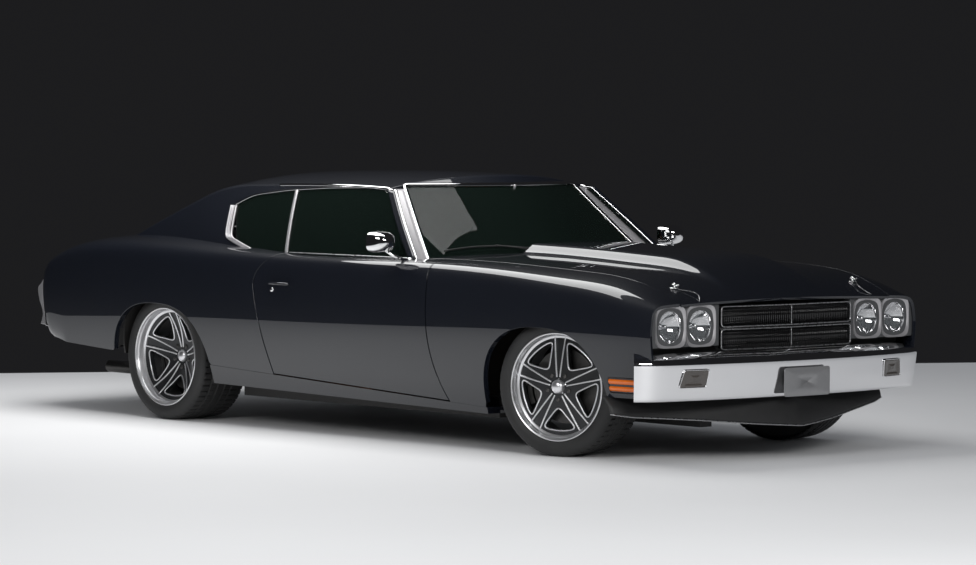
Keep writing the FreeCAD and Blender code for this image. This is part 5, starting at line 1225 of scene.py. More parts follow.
def build_lamps():
    """Four round lamps: a fluted lens over a bowl, a bright ring and a dished rounded-square surround."""
    lenses, bowls, rings, dishes = [], [], [], []
    a = np.linspace(0, 2 * math.pi, 72, endpoint=False)
    x_edge, z = X_LAMP + 0.016, 0.620
    for sign in (1, -1):
        for y in (sign * 0.744, sign * 0.553):
            r = column(26, 2 * TIP, LENS_RADIUS)
            x = X_LAMP + 0.012 - 0.016 * (r / LENS_RADIUS) ** 2 + 0.0006 * np.cos(r * 900) + 0 * a
            front = np.stack([x, y + r * np.cos(a), z + r * np.sin(a)], -1)
            lenses.append((np.concatenate([front, front[::-1] - (0.004, 0, 0)]), True, True))
            r = column(16, 2 * TIP, BOWL_RADIUS)
            x = X_LAMP - 0.048 + 0.046 * (r / BOWL_RADIUS) ** 2 + 0 * a
            bowls.append((np.stack([x, y + r * np.cos(a), z + r * np.sin(a)], -1), False, True))
            bowls.append(spun(BULB, (X_LAMP - 0.045, y, z), AHEAD, ACROSS, 20))
            rings.append(spun(LAMP_RING, (X_LAMP, y, z), AHEAD, ACROSS, 96, True))
            dish = ring_grid(y, z, X_LAMP - 0.004, 0.078, x_edge, 0.0925, 5.0)
            square = ring_grid(y, z, x_edge, 0.0925, x_edge, 0.0945, 5.0, 2)[-1:]
            edges = [square + (shift, 0, 0) for shift in (0.0005, -0.004, -0.030)]
            dishes.append((np.concatenate([dish] + edges), False, True))
    add_piece("lamp_lenses", lenses, "lens", "body", ("headlamps",))
    add_piece("lamp_bowls", bowls, "chrome", "body")
    add_piece("lamp_rings", rings, "chrome", "body", sharp=40)
    # The dishes wear satin rather than chrome: the paler, part-diffuse metal is a painted highlight for the
    # bright reflections of polished dishes.
    add_piece("lamp_dishes", dishes, "satin", "body", sharp=40)


def grille_x(y):
    """x of the grille's face, bent forward at mid width."""
    return X_LAMP + 0.020 + 0.030 * (1 - np.abs(y) / 0.434)


def build_grille():
    """Egg-crate grille: two rows of thin bars behind bright frames, bent forward at mid width."""
    lows, highs = [], []
    for z0, z1 in ((0.512, 0.594), (0.616, 0.698)):
        for y in np.arange(-0.418, 0.4181, 0.0125):
            lows.append((-0.030, y - 0.0009, z0))
            highs.append((-0.004, y + 0.0009, z1))
        for z in np.linspace(z0, z1, 8)[1:-1]:
            lows.append((-0.028, -0.424, z - 0.0011))
            highs.append((-0.003, 0.424, z + 0.0011))
    lows.append((-0.030, -0.430, 0.596))
    highs.append((0.002, 0.430, 0.614))
    points, faces = boxes(lows, highs)
    points[:, 0] += grille_x(points[:, 1])
    mesh = make_mesh("grille_mesh", points, faces, weld=False)
    place(mesh.name, mesh, "black_gloss", "body")
    y = np.array((-0.43, 0.0, 0.43))
    back = np.stack([np.stack([grille_x(y) - 0.034, y, 0 * y + z], -1) for z in (0.503, 0.704)])
    add_piece("grille_back", [back], "black", "body", ("grille",), (1.5, 0, 0.6))
    beads = []
    for z0, z1 in ((0.507, 0.599), (0.611, 0.703)):
        corners = ((0, z0), (0.428, z0), (0.428, z1), (0, z1), (-0.428, z1), (-0.428, z0), (0, z0))
        line = ease_closed(resample(corners, 260)[:-1], 5)
        path = np.stack([grille_x(line[:, 0]), line[:, 0], line[:, 1]], -1)
        beads.append(closed_strip(path, AHEAD, 0.0060, 0.0045))
        post = ((grille_x(0.0), 0.0, z0), (grille_x(0.0), 0.0, z1))
        beads += strip(resample(post, 6), AHEAD, 0.0050, 0.0035)
    add_piece("grille_frames", beads, "silver", "body")


def bumper_line(front_x, bow, corner_y, side_x, side_y, count=46, corner=16):
    """Plan path of a bumper: a parabola, then a quadratic curve round each corner."""
    y = np.linspace(0, corner_y, count)
    x = front_x - bow * (y / corner_y) ** 2
    pull = 0.6 * (side_y - corner_y)
    t = np.linspace(0, 1, corner + 1)[1:]
    turn_x = quadratic(x[-1], x[-1] - 2 * bow * pull / corner_y, side_x, t)
    turn_y = quadratic(corner_y, corner_y + pull, side_y, t)
    half = np.stack([np.concatenate([x, turn_x]), np.concatenate([y, turn_y])], -1)
    return np.concatenate([half[:0:-1] * (1, -1), half])


def bar_grid(path, section):
    """A closed section of (inward depth, height) carried along a plan path, with its ends closed."""
    ahead = unit(np.gradient(path, axis=0))
    inward = np.stack([-ahead[:, 1], ahead[:, 0]], -1)
    middle = len(path) // 2
    if inward[middle, 0] * path[middle, 0] > 0:
        inward = -inward
    plan = path[:, None] + section[None, :, 0, None] * inward[:, None]
    height = np.broadcast_to(section[None, :, 1, None], plan.shape[:2] + (1,))
    return capped(np.concatenate([plan, height], -1))


def build_bumper_ends(path):
    """Rear bumper ends: the quarter panel's surface carried aft, then curved to the bumper's face."""
    z = row(26, 0.435, 0.688)
    run = column(12)
    x = tail_end(z) + 0.100 - 0.097 * run
    side = tail_turn(side_surface(x, share_at(x, z + 0 * x)))
    flare = np.interp(z, (0.435, 0.475, 0.556, 0.626, 0.688), (0.0, 0.006, 0.030, 0.040, 0.030))
    side[..., 1] += 0.005 + flare * run
    first = side[-1]
    order = np.argsort(path[:, 1])
    y_end = 0.600
    x_face = float(np.interp(y_end, path[order, 1], path[order, 0])) - 0.0045
    last = np.stack([x_face + 0 * z[0], y_end + 0 * z[0], z[0]], -1)
    pull = np.stack([x_face - 0.006 + 0 * z[0], first[:, 1] - 0.018, z[0]], -1)
    shape = np.concatenate([side, quadratic(first, pull, last, column(26)[1:, :, None])])
    low, high = (
        [shape[:, [edge]] + (0.6 * depth, -0.8 * depth, rise) for depth in depths]
        for edge, rise, depths in ((0, -0.003, (0.030, 0.012)), (-1, 0.003, (0.012, 0.030)))
    )
    shape = np.concatenate(low + [shape] + high, 1)
    grids = [shape, mirror_points(shape)]
    # The ends wear satin rather than chrome: the paler, part-diffuse metal is a painted reflection of a
    # light surround that the near-black world does not give.
    item = add_piece("rear_bumper_ends", grids, "satin", "body", aim=(-2.0, 0, 0.56))
    solidify(item, 0.004)


def build_tail(path):
    """Tail lamps as fluted red slabs in the rear bumper, and the painted panel above it."""
    lamps, rims = [], []
    line = resample(path, 400)
    line = line[np.argsort(line[:, 1])]
    z = row(22, 0.522, 0.604)
    out = 0.004 + 0.004 * np.abs(np.sin(row(22, 0, 3 * math.pi)))
    for sign in (1, -1):
        y = sign * column(60, 0.36, 0.60)
        x = np.interp(y, line[:, 1], line[:, 0])
        shape = np.stack([x - out, y + 0 * z, z + 0 * x], -1)
        lamps.append(shape)
        edge = np.concatenate([shape[:, 0], shape[-1, 1:], shape[-2::-1, -1], shape[0, -2:0:-1]])
        rim = round_line(np.concatenate([edge, edge[:1]]), 200, 2)[:-1]
        rims.append(closed_strip(rim, (-1, 0, 0), 0.009, 0.006))
    add_piece("tail_lamp_lenses", lamps, "red", "body", ("tail_lamps",), (0, 0, 0.56))
    add_piece("tail_lamp_rims", rims, "chrome", "body")
    y = row(61, -1, 1) * 0.86
    top = top_surface(X_DECK_REAR + 0 * y, y)[..., 2]
    rise = lerp(0.46, top - 0.026, column(14))
    back = tail_turn(np.stack([X_TAIL + 0.032 + 0.015 * (rise - 0.46), y + 0 * rise, rise], -1))
    item = add_piece("tail_sheet", [back], "paint", "body", ("tail_panel",), (0, 0, 0.5))
    solidify(item, 0.006)


def build_bumpers():
    """Front bumper: shelf and face on a bowed path with rounded edges; rear bumper: a taller blade."""
    front = round_line(bumper_line(HALF_LENGTH - 0.012, 0.084, 0.800, HALF_LENGTH - 0.172, 0.940), 160, 5)
    rear = tail_turn(bumper_line(HALF_LENGTH, 0.083, 0.823, HALF_LENGTH - 0.202, 0.885) * (-1, 1))
    for name, path, section in (("front", front, FRONT_SECTION), ("rear", rear, REAR_SECTION)):
        bar = bar_grid(path, eased(section, 90, 3))
        nodes = ("%s_bumper" % name,)
        add_piece("%s_bumper_bright" % name, [bar], "chrome", "body", nodes, sharp=45)
    build_tail(rear)
    build_bumper_ends(rear)
    build_spoiler()
    # small lamps with bright rims
    rims, lenses = [], []
    for sign in (1, -1):
        corners = []
        for y, z in TURN_LAMP:
            x = HALF_LENGTH - 0.012 - 0.084 * (y / 0.800) ** 2 - 0.024 * (0.440 - z) / 0.156
            corners.append((x + 0.0035, sign * y, z))
        line = eased(np.array(corners), 80, 3)
        rims.append(closed_strip(line, (0.98, 0.2 * sign, 0), 0.006, 0.0035))
        t = np.linspace(0, 0.999, 12)[:, None, None]
        inward = lerp(line, line.mean(0), t) + 0.0015 * np.sin(9 * t) * AHEAD
        lenses.append((inward, False, True))
    add_piece("turn_lamp_rims", rims, "chrome", "body")
    add_piece("turn_lamp_lenses", lenses, "smoke", "body", ("turn_lamps",), (1.5, 0, 0.4))


def build_spoiler():
    """Chin spoiler: a sheet on the path x = a - b |y / w|^1.3, lowest at mid width."""
    half, foot = 0.90, 0.222
    y = row(121, -half, half)
    low = np.interp(np.abs(y), (0, 0.25, 0.49, 0.68, 0.80, half), (0.150, 0.166, 0.187, 0.200, 0.207, foot))
    low = ease_closed(low[0], 1)[None]
    low[0, 0] = low[0, -1] = foot
    t = column(12)
    x = HALF_LENGTH - 0.030 - 0.335 * (np.abs(y) / half) ** 1.3 - 0.050 * t + 0.012 * np.sin(math.pi * t)
    shape = np.stack([x, y + 0 * x, lerp(low, 0.302, t)], -1)
    nodes = ("front_spoiler",)
    item = add_piece("spoiler_sheet", [shape], "black", "body", nodes, (1.5, 0, 0.3))
    solidify(item, 0.006)
    edge = tube(shape[0] + (0.001, 0, -0.0005), 0.0030, 8)
    add_piece("spoiler_edge", edge, "silver", "body")


def build_plate():
    """Blank plate: a thin sheet with rounded corners and two bolts, on a bracket."""
    half, z_low, z_high = 0.150, 0.288, 0.420
    line = eased(np.array(((-half, z_low), (half, z_low), (half, z_high), (-half, z_high))), 120, 3)
    outline = np.stack([HALF_LENGTH - 0.003 + 0 * line[:, 0], line[:, 0], line[:, 1]], -1)
    centre = outline.mean(0)
    front = np.stack([lerp(outline, centre, t) for t in (0.0, 0.02, 0.04, 0.5, 0.999)]) + (0.003, 0, 0)
    front[1] += (-0.0008, 0, 0)
    sheet = (np.concatenate([front, front[::-1] - (0.0028, 0, 0)]), True, True)
    add_piece("plate_blank", [sheet], "plate", "body", ("plate",))
    spots = ((HALF_LENGTH - 0.0030, y, 0.4095) for y in (-0.089, 0.089))
    grids = [spun(PLATE_BOLT, spot, AHEAD, ACROSS, 20) for spot in spots]
    low, high = (HALF_LENGTH - 0.046, -0.045, 0.300), (HALF_LENGTH - 0.0035, 0.045, 0.412)
    grids.append(rounded_block(low, high, 9, 16, 32))
    add_piece("plate_bolts", grids, "silver", "body")


def build_pins():
    """Hood pins: a post in a dished plate with a clip, and a thin lanyard that curves to the front edge."""
    grids, wires = [], []
    turn, t = np.linspace(0, 2 * math.pi, 26), np.linspace(0, 1, 30)
    for sign in (1, -1):
        x, y = HALF_LENGTH - 0.271, sign * 0.591
        base = top_surface(np.array(x), np.array(y), 1.0)
        grids += [spun(PIN_PLATE, base, UPWARD, AHEAD, 40), spun(PIN_POST, base, UPWARD, AHEAD, 20)]
        clip = [0.020 * np.cos(turn) + 0.006, 0.010 * np.sin(turn), 0.013 + 0.003 * np.sin(2 * turn)]
        grids += tube(base + np.stack(clip, -1), 0.0024, 8)
        wire_y = y - sign * 0.055 * np.sin(math.pi * t * 0.8) + sign * 0.012 * t
        wire = top_surface(x + 0.020 + 0.118 * t ** 0.8, wire_y, 1.0)
        wire[:, 2] += 0.0025 + 0.010 * np.sin(math.pi * t)
        wires += tube(wire, 0.0020, 8)
    add_piece("hood_pin_set", grids, "chrome", "hood", ("hood_pins",))
    add_piece("hood_lanyards", wires, "silver", "hood")


# Bright trim

MIRROR_SHELL = (
    (TIP, 0.052), (0.012, 0.050), (0.026, 0.043), (0.040, 0.030), (0.050, 0.012), (0.0555, -0.008),
    (0.0575, -0.030), (0.0570, -0.036), (0.0545, -0.037), (0.0535, -0.030), (TIP, -0.030),
)
MIRROR_FOOT = ((TIP, 0.010), (0.010, 0.009), (0.016, 0.005), (0.020, -0.006), (TIP, -0.006))
LOCK = ((TIP, 0.006), (0.008, 0.006), (0.011, 0.004), (0.012, -0.002), (TIP, -0.002))
MARKER_CORNERS = np.array(((2.116, 0.320), (2.304, 0.320), (2.304, 0.388), (2.116, 0.388)))


def side_strip(x, z, side, width, height):
    """A moulding on the cabin's side."""
    return strip(cabin_side(x, z) * (1, side, 1), (0, 0.9 * side, 0.42), width, height)


def build_trim():
    """Mouldings: half-round strips along the windshield, drip rails, side windows and divider bars."""
    z = np.linspace(BELT - 0.012, SCREEN_TOP, 50)
    half = screen_half(z)
    leg = windshield_surface(half, z)
    y = np.linspace(half[-1], -half[-1], 60)[1:-1]
    path = np.concatenate([leg, windshield_surface(y, SCREEN_TOP + 0 * y), mirror_points(leg[::-1])])
    grids = strip(round_line(path, 200, 3), (1, 0, 0.9), 0.024, 0.008)
    y = np.linspace(-half[0], half[0], 80)
    foot = windshield_surface(y, BELT - 0.004 + 0 * y) + (0.006, 0, 0.004)
    grids += strip(foot, (0.5, 0, 0.9), 0.020, 0.008)
    _x, z_top = find_top(400)
    z = np.linspace(BELT - 0.015, z_top, 50)
    x, y = screen_side(z)
    rail_x = np.linspace(x[-1], -0.205 * HALF_LENGTH, 70)[1:]
    rail_y, rail_z = meet_side(rail_x)
    rail = np.concatenate([np.stack([x, y, z], -1), np.stack([rail_x, rail_y, rail_z], -1)])
    front, top, rear = window_edges()
    line = round_line(np.concatenate([front, top[1:], rear[::-1][1:]]), 260, 1)
    frame_line = round_line(rear, 60, 2)[1:-1]
    beads = []
    for _name, side in SIDES:
        grids += strip(round_line(rail, 220, 4) * (1, side, 1), (0.15, 0.85 * side, 0.5), 0.015, 0.009)
        grids += side_strip(line[:, 0], line[:, 1], side, 0.011, 0.006)
        for shift in (-0.034, -0.020, -0.006, 0.010):
            beads += side_strip(frame_line[:, 0] + shift, frame_line[:, 1], side, 0.0125, 0.009)
    add_piece("bright_mouldings", grids, "chrome", "body")
    z = column(40, BELT - 0.010, z_top - 0.004)
    _x, outer = screen_side(z)
    y = lerp(screen_half(z) + 0.010, outer - 0.004, row(6))
    face = windshield_surface(y, z + 0 * y) + (0.0022, 0, 0.0019)
    grids = [face, mirror_points(face)]
    item = add_piece("pillar_mouldings", grids, "satin", "body", aim=(-0.2, 0, 0.9))
    solidify(item, 0.002)
    add_piece("quarter_window_frames", beads, "satin", "body")
    for name, side in SIDES:
        door = "door_%s" % name
        z = np.linspace(BELT - 0.002, 0.925 * ROOF, 20)
        bar = side_strip(divider_x(z), z, side, 0.022, 0.007)
        add_piece("divider_bar_%s" % name, bar, "satin", door)
        x = np.linspace(X_DOOR_REAR + 0.13, X_DOOR_FRONT - 0.235, 40)
        y = cabin_side(x, BELT + 0.006 + 0 * x)[:, 1]
        belt = np.stack([x, side * (y + 0.006), 0 * x + BELT + 0.007], -1)
        belt = strip(belt, (0, 0.5 * side, 0.8), 0.008, 0.004)
        add_piece("belt_strip_%s" % name, belt, "silver", door)


def on_side(x, z):
    """The point of the body side at one x and height."""
    return side_surface(np.array(x), share_at(np.array([x]), np.array([z]))[0])


def build_mirrors():
    """Bullet mirrors, each a turned shell on a curved arm and a foot, with the door's handle and lock."""
    radius, power = 0.062, 3.4
    top = side_surface(np.array(X_DOOR_FRONT - 0.243), np.array(0.93))
    head = top + (-0.6 * radius, 1.9 * radius, 1.36 * radius)
    bowl = lathe([(r * 1.19, h * 1.10) for r, h in MIRROR_SHELL], head, AHEAD, ACROSS, 72)
    across, up = bowl[..., 1] - head[1], bowl[..., 2] - head[2]
    norm = (np.abs(across) ** power + np.abs(up) ** power) ** (1 / power)
    square = np.hypot(across, up) / np.maximum(norm, 1e-9)
    bowl[..., 1] = head[1] + across * square * 1.02
    bowl[..., 2] = head[2] + up * square * 0.74
    ends = top + (0.01, -0.012, -0.004), top + (0.02, 0.085, 0.0), head + (0.0, -0.004, -0.030)
    arm = tube(quadratic(*ends, column(16)), np.linspace(0.009, 0.0065, 16), 16)
    foot = spun(MIRROR_FOOT, top + (0.01, -0.012, -0.002), (0, 0.2, 0.98), AHEAD, 32)
    shell = [(bowl, False, True), foot] + arm
    spot = on_side(X_DOOR_REAR + 0.130, 0.730)
    t = np.linspace(0, 1, 24)
    bow = np.sin(math.pi * t)
    bar = np.stack([spot[0] + 0.150 * t, spot[1] + 0.004 + 0.024 * bow ** 0.5, spot[2] + 0.003 * bow], -1)
    lock = [spun(LOCK, on_side(X_DOOR_REAR + 0.148, 0.700), ACROSS, AHEAD, 28)]
    for name, side in SIDES:
        door, mirror = "door_%s" % name, "mirror_%s" % name
        add_piece(mirror + "_shell", shell, "chrome", door, (mirror,), sharp=45, side=side)
        add_piece("handle_%s" % name, tube(bar, 0.0070, 14), "paint", door, side=side)
        add_piece("lock_%s" % name, lock, "chrome", door, side=side)


def build_wipers():
    """Two wipers at the windshield's foot and the interior mirror."""
    grids = []
    for y0, y1 in ((-0.62, -0.12), (0.02, 0.55)):
        z = BELT + 0.030 + 0.020 * np.sin(np.linspace(0, math.pi, 24))
        blade = windshield_surface(np.linspace(y0, y1, 24), z) + (0.010, 0, 0.008)
        grids += tube(blade, 0.0045, 8)
        end = blade[12]
        pivot = windshield_surface(np.array(y1 - 0.04), np.array(BELT + 0.004)) + (0.035, 0, 0.012)
        elbow = 0.5 * (pivot + end) + (0.004, 0, 0.014)
        grids += tube(resample(np.array([pivot, elbow, end + (0, 0, 0.004)]), 14), 0.0040, 8)
    add_piece("wipers", grids, "black", "body")
    z = ROOF - 0.115
    x = windshield_surface(np.array(0.0), np.array(z))[0]
    mirror = rounded_block((x - 0.075, -0.125, z - 0.030), (x - 0.050, 0.125, z + 0.030), 3.5, 20, 40)
    stem = tube(resample(((x - 0.058, 0, z + 0.02), (x - 0.045, 0, z + 0.055)), 4), 0.006, 10)
    add_piece("inner_mirror", [mirror] + stem, "satin", "body")


def build_low_trim():
    """Side markers: two amber bars in a dark frame on each fender."""
    lenses, frames = [], []
    x = np.linspace(2.122, 2.298, 20)
    t = np.linspace(0, 1, 8)
    for sign in (1, -1):
        for z0, z1 in ((0.327, 0.349), (0.359, 0.381)):
            px, pz = np.meshgrid(x, lerp(z0, z1, t), indexing="ij")
            shape = side_surface(px, share_at(px, pz))
            shape[..., 1] += 0.0015 + 0.0060 * np.sin(math.pi * t)[None, :] ** 0.5
            lenses.append(shape * (1, sign, 1))
        line = eased(MARKER_CORNERS, 90, 3)
        spot = side_surface(line[:, 0], share_at(line[:, 0], line[:, 1])) * (1, sign, 1)
        frames.append(closed_strip(spot, (0, 1.0 * sign, 0), 0.006, 0.006))
    add_piece("marker_bars", lenses, "amber", "body", ("side_markers",))
    add_piece("marker_frames", frames, "black_gloss", "body")


# Seats and dashboard

STEERING_HUB = (
    (TIP, -0.016), (0.020, -0.014), (0.030, -0.004), (0.032, 0.010), (0.028, 0.040), (TIP, 0.040),
)


def read_vectors(vertices, what):
    """Positions or normals of a mesh's vertices, one row each."""
    values = np.empty(len(vertices) * 3)
    vertices.foreach_get(what, values)
    return values.reshape(-1, 3)


def puff(item, pressure=4.0, cap=0.022):
    """Swell a cushion with a short cloth run under pressure, each vertex by at most cap."""
    mesh = item.data
    start = read_vectors(mesh.vertices, "co")
    cloth = item.modifiers.new("Cloth", "CLOTH")
    cloth.settings.use_pressure = True
    cloth.settings.uniform_pressure_force = pressure
    cloth.settings.effector_weights.gravity = 0
    cloth.settings.tension_stiffness = 25
    cloth.settings.quality = 4
    scene = bpy.context.scene
    for step in range(1, 15):
        scene.frame_set(step)
    shown = item.evaluated_get(bpy.context.evaluated_depsgraph_get())
    change = read_vectors(shown.data.vertices, "co") - start
    item.modifiers.remove(cloth)
    scene.frame_set(1)
    length = np.linalg.norm(change, axis=1)[:, None]
    change *= np.minimum(1, cap / np.maximum(length, 1e-9))
    mesh.vertices.foreach_set("co", (start + change).ravel())
    mesh.update()


def cushion(name, low, high, lean, channels, replaced=(), power=5.0):
    """A padded block: a soft-edged superellipsoid with a row of sewn channels pressed in."""
    grids = [rounded_block(low, high, power, 44, 72, lean)]
    item = add_piece(name, grids, "leather", "body", replaced)
    puff(item)
    vertices = item.data.vertices
    spots = read_vectors(vertices, "co")
    share = (spots[:, 1] - low[1]) / (high[1] - low[1]) - 0.5
    phase = np.abs((share * channels) % 1.0 - 0.5)
    inner = soft_step((0.38 - np.abs(share)) / 0.04)
    notch = 0.010 * np.exp(-((phase - 0.5) * 18 / channels * 5) ** 2) * inner
    vertices.foreach_set("co", (spots - notch[:, None] * read_vectors(vertices, "normal")).ravel())
    item.data.update()
    smooth = item.modifiers.new("Smooth", "SUBSURF")
    smooth.levels = smooth.render_levels = 1


def build_seats():
    """Front seats with headrests and the rear bench, each cushion a padded block inside its solid."""
    for name, side in SIDES:
        y0, y1 = sorted((side * 0.150, side * 0.594))
        seat = "seat_%s_" % name
        cushion(seat + "base", (0.065, y0, 0.262), (0.540, y1, 0.398), 0.0, 6, ("front_seats",))
        cushion(seat + "back", (0.055, y0 + 0.005, 0.345), (0.165, y1 - 0.005, 0.842), -0.35, 6)
        y0, y1 = sorted((side * 0.250, side * 0.494))
        cushion(seat + "headrest", (-0.125, y0, 0.850), (-0.035, y1, 0.998), -0.12, 1, (), 3.6)
    for name, side in SIDES:
        y0, y1 = sorted((side * 0.130, side * 0.562))
        bench = "bench_%s_" % name
        cushion(bench + "base", (-0.850, y0, 0.264), (-0.390, y1, 0.402), 0.0, 5, ("rear_seat",))
        cushion(bench + "back", (-0.852, y0, 0.392), (-0.745, y1, 0.750), -0.10, 5)


def build_dash():
    """Dashboard pad, gauge binnacle, steering wheel rim, spokes and hub."""
    x1 = X_DOOR_FRONT + DOOR_TOE
    pad = rounded_block((x1 - 0.272, -0.700, 0.640), (x1 - 0.010, 0.700, 0.805), 7, 28, 90)
    binnacle = rounded_block((x1 - 0.272, 0.180, 0.668), (x1 - 0.100, 0.570, 0.806), 5, 24, 50)
    add_piece("dash_pad", [pad, binnacle], "black", "body", ("dashboard",))
    tilt = math.radians(62)
    hub = np.array((x1 - 0.501, 0.372, 0.750))
    along = np.array((math.sin(tilt), 0, -math.cos(tilt)))
    up = np.cross(along, ACROSS)
    a = np.linspace(0, 2 * math.pi, 96, endpoint=False)[:, None]
    ring = hub + 0.180 * (np.cos(a) * np.array(ACROSS) + np.sin(a) * up)
    wheel, nodes = "steering_wheel", ("steering_wheel",)
    add_piece("steering_rim", tube(ring, 0.0125, 14, True), "leather", wheel, nodes)
    grids = []
    for angle in np.radians((90, 210, 330)):
        end = hub + 0.176 * (math.cos(angle) * up + math.sin(angle) * np.array(ACROSS))
        grids += tube(resample((hub + 0.012 * along, end), 8), np.linspace(0.010, 0.006, 8), 12)
    grids.append(spun(STEERING_HUB, hub, along, ACROSS, 40))
    add_piece("steering_hub", grids, "silver", wheel)


# Stage

YAW, PITCH, ROLL_LEFT = (math.radians(angle) for angle in (137.84, -2.50, 0.28))
CAMERA_SPOT = (15.464, -13.711, 1.621)
LENS_PIXELS, PHOTO_WIDTH, SENSOR = 4114, 976, 36
FLOOR_CORNERS = ((3.36, -4.3), (7.13, 11), (-16, 11), (-16, -4.3))
LAMPS = (
    ("overhead", (-0.9, -0.75, 3.4), (-0.9, -0.75, 0.0), (3.6, 2.5), 142),
    ("front_fill", (8.5, -3.5, 3.6), (1.2, 0.0, 0.5), (3.0, 2.0), 215),
    ("side_fill", (3.5, -8.5, 4.2), (0.0, 0.0, 0.4), (4.0, 2.0), 190),
)


def add_item(name, data):
    """An object linked to the scene."""
    item = bpy.data.objects.new(name, data)
    bpy.context.scene.collection.objects.link(item)
    return item


def build_floor():
    """Pale floor as wide as the photo shows, its far edge across the view."""
    mesh = bpy.data.meshes.new("stage_floor")
    ahead = np.array((math.cos(YAW), math.sin(YAW), 0.0))
    across = np.array((ahead[1], -ahead[0], 0.0))
    mesh.from_pydata([tuple(ahead * a + across * b) for a, b in FLOOR_CORNERS], [], [(0, 1, 2, 3)])
    add_item("stage_floor", mesh)
    made = Finish("stage_floor")
    drift = made.noise(0.6)
    colour = made.mix(drift, (0.78, 0.78, 0.78), (0.82, 0.82, 0.82))
    made.set(Base_Color=colour, Roughness=0.55 + 0.1 * drift)
    mesh.materials.append(made.material)


def build_world():
    """Soft light all round that the camera, reflections and glass see as near black."""
    world = bpy.data.worlds.new("studio")
    bpy.context.scene.world = world
    world.use_nodes = True
    tree = world.node_tree
    tree.nodes.clear()
    path = tree.nodes.new("ShaderNodeLightPath")
    seen = path.outputs["Is Camera Ray"]
    for ray in ("Is Glossy Ray", "Is Transmission Ray"):
        both = tree.nodes.new("ShaderNodeMath")
        both.operation = "MAXIMUM"
        tree.links.new(seen, both.inputs[0])
        tree.links.new(path.outputs[ray], both.inputs[1])
        seen = both.outputs[0]
    mix = tree.nodes.new("ShaderNodeMixShader")
    tree.links.new(seen, mix.inputs[0])
    for slot, colour in ((1, (0.30, 0.31, 0.33, 1)), (2, (0.012, 0.012, 0.013, 1))):
        light = tree.nodes.new("ShaderNodeBackground")
        light.inputs[0].default_value = colour
        tree.links.new(light.outputs[0], mix.inputs[slot])
    tree.links.new(mix.outputs[0], tree.nodes.new("ShaderNodeOutputWorld").inputs[0])


def build_camera():
    """The photo's camera: long lens, slightly down, rolled a little."""
    camera = bpy.data.cameras.new("camera")
    camera.lens = LENS_PIXELS * SENSOR / PHOTO_WIDTH
    camera.sensor_width = SENSOR
    camera.clip_end = 200
    item = add_item("camera", camera)
    bpy.context.scene.camera = item
    look = np.array((math.cos(YAW) * math.cos(PITCH), math.sin(YAW) * math.cos(PITCH), math.sin(PITCH)))
    right = np.array((math.sin(YAW), -math.cos(YAW), 0.0))
    up = np.cross(right, look)
    matrix = np.eye(4)
    matrix[:3, 0] = math.cos(ROLL_LEFT) * right + math.sin(ROLL_LEFT) * up
    matrix[:3, 1] = -math.sin(ROLL_LEFT) * right + math.cos(ROLL_LEFT) * up
    matrix[:3, 2] = -look
    matrix[:3, 3] = CAMERA_SPOT
    item.matrix_world = Matrix(matrix.tolist())


def build_stage():
    """Floor, world, lamps and camera."""
    build_floor()
    build_world()
    for name, spot, aim, size, power in LAMPS:
        data = bpy.data.lights.new(name, "AREA")
        data.shape = "RECTANGLE"
        data.size, data.size_y = size
        data.energy = power
        item = add_item(name, data)
        item.location = spot
        item.rotation_euler = (Vector(aim) - Vector(spot)).to_track_quat("-Z", "Y").to_euler()
    bpy.context.scene.view_settings.view_transform = "Standard"
    build_camera()


# Add-on


class CarSizes(bpy.types.PropertyGroup):
    """Colours that a user may change before building."""

    paint: bpy.props.FloatVectorProperty(
        name="Paint", description="Body colour", subtype="COLOR", size=3,
        default=(0.0042, 0.0056, 0.0098), min=0, max=1,
    )
    leather: bpy.props.FloatVectorProperty(
        name="Seats", description="Seat leather colour", subtype="COLOR", size=3,
        default=(0.36, 0.135, 0.042), min=0, max=1,
    )


class CAR_OT_finishes(bpy.types.Operator):
    """Make every material and give it to the solids"""

    bl_idname = "car.finishes"
    bl_label = "Finishes"

    def execute(self, context):
        build_finishes(context.scene.car_sizes)
        dress_nodes()
        return {"FINISHED"}


class CAR_OT_panels(bpy.types.Operator):
    """Build the fenders, doors, quarter panels, hood and trunk lid"""

    bl_idname = "car.panels"
    bl_label = "Body panels"

    def execute(self, context):
        build_doors()
        build_fenders()
        build_quarters()
        build_lids()
        return {"FINISHED"}


class CAR_OT_cabin(bpy.types.Operator):
    """Build the roof and its pillars"""

    bl_idname = "car.cabin"
    bl_label = "Roof and pillars"

    def execute(self, context):
        build_cabin()
        build_glass()
        return {"FINISHED"}


class CAR_OT_wheels(bpy.types.Operator):
    """Build the tyres and the five-spoke wheels"""

    bl_idname = "car.wheels"
    bl_label = "Wheels"

    def execute(self, context):
        build_wheels()
        return {"FINISHED"}


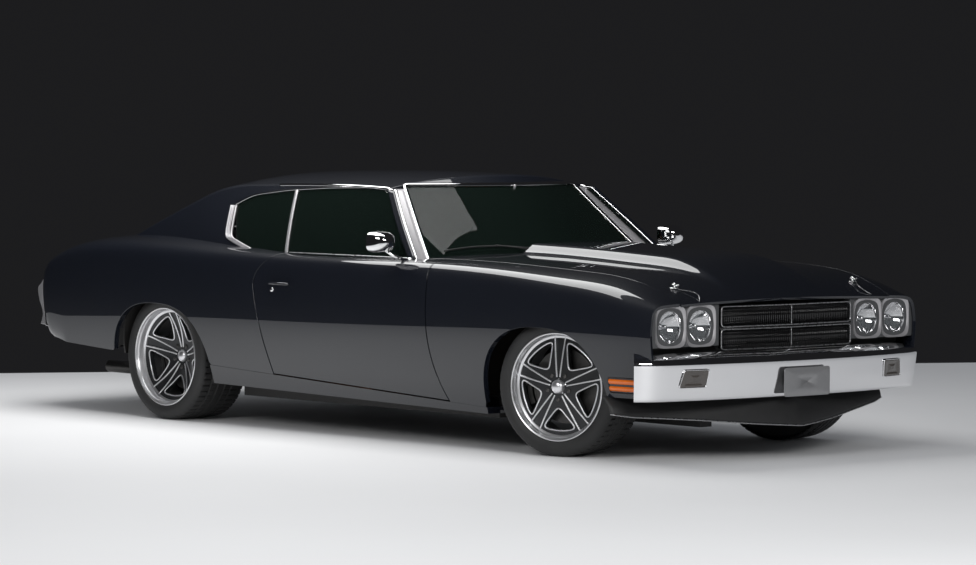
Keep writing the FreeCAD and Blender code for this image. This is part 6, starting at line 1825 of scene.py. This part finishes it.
class CAR_OT_nose(bpy.types.Operator):
    """Build the lamps, the grille, the bumpers, the plate and the hood pins"""

    bl_idname = "car.nose"
    bl_label = "Nose"

    def execute(self, context):
        build_lamps()
        build_grille()
        build_bumpers()
        build_plate()
        build_pins()
        return {"FINISHED"}


class CAR_OT_trim(bpy.types.Operator):
    """Build the mouldings, mirrors, handles, wipers and side markers"""

    bl_idname = "car.trim"
    bl_label = "Trim"

    def execute(self, context):
        build_trim()
        build_mirrors()
        build_wipers()
        build_low_trim()
        return {"FINISHED"}


class CAR_OT_seats(bpy.types.Operator):
    """Build the seats, the dashboard and the steering wheel"""

    bl_idname = "car.seats"
    bl_label = "Cabin inside"

    def execute(self, context):
        build_seats()
        build_dash()
        return {"FINISHED"}


class CAR_OT_stage(bpy.types.Operator):
    """Set the floor, the lamps and the camera"""

    bl_idname = "car.stage"
    bl_label = "Stage"

    def execute(self, context):
        build_stage()
        return {"FINISHED"}


STEPS = (
    CAR_OT_finishes, CAR_OT_panels, CAR_OT_cabin, CAR_OT_wheels, CAR_OT_nose, CAR_OT_trim,
    CAR_OT_seats, CAR_OT_stage,
)


class CAR_PT_steps(bpy.types.Panel):
    """Lists the steps that dress the car."""

    bl_label = "Car"
    bl_idname = "CAR_PT_steps"
    bl_space_type = "VIEW_3D"
    bl_region_type = "UI"
    bl_category = "Car"

    def draw(self, context):
        sizes = context.scene.car_sizes
        self.layout.prop(sizes, "paint")
        self.layout.prop(sizes, "leather")
        for step in STEPS:
            self.layout.operator(step.bl_idname)


def register():
    for kind in (CarSizes, *STEPS, CAR_PT_steps):
        bpy.utils.register_class(kind)
    bpy.types.Scene.car_sizes = bpy.props.PointerProperty(type=CarSizes)


def unregister():
    del bpy.types.Scene.car_sizes
    for kind in (CAR_PT_steps, *reversed(STEPS), CarSizes):
        bpy.utils.unregister_class(kind)


def main():
    register()
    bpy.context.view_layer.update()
    for step in STEPS:
        group, name = step.bl_idname.split(".")
        getattr(getattr(bpy.ops, group), name)()


if __name__ == "__main__":
    main()
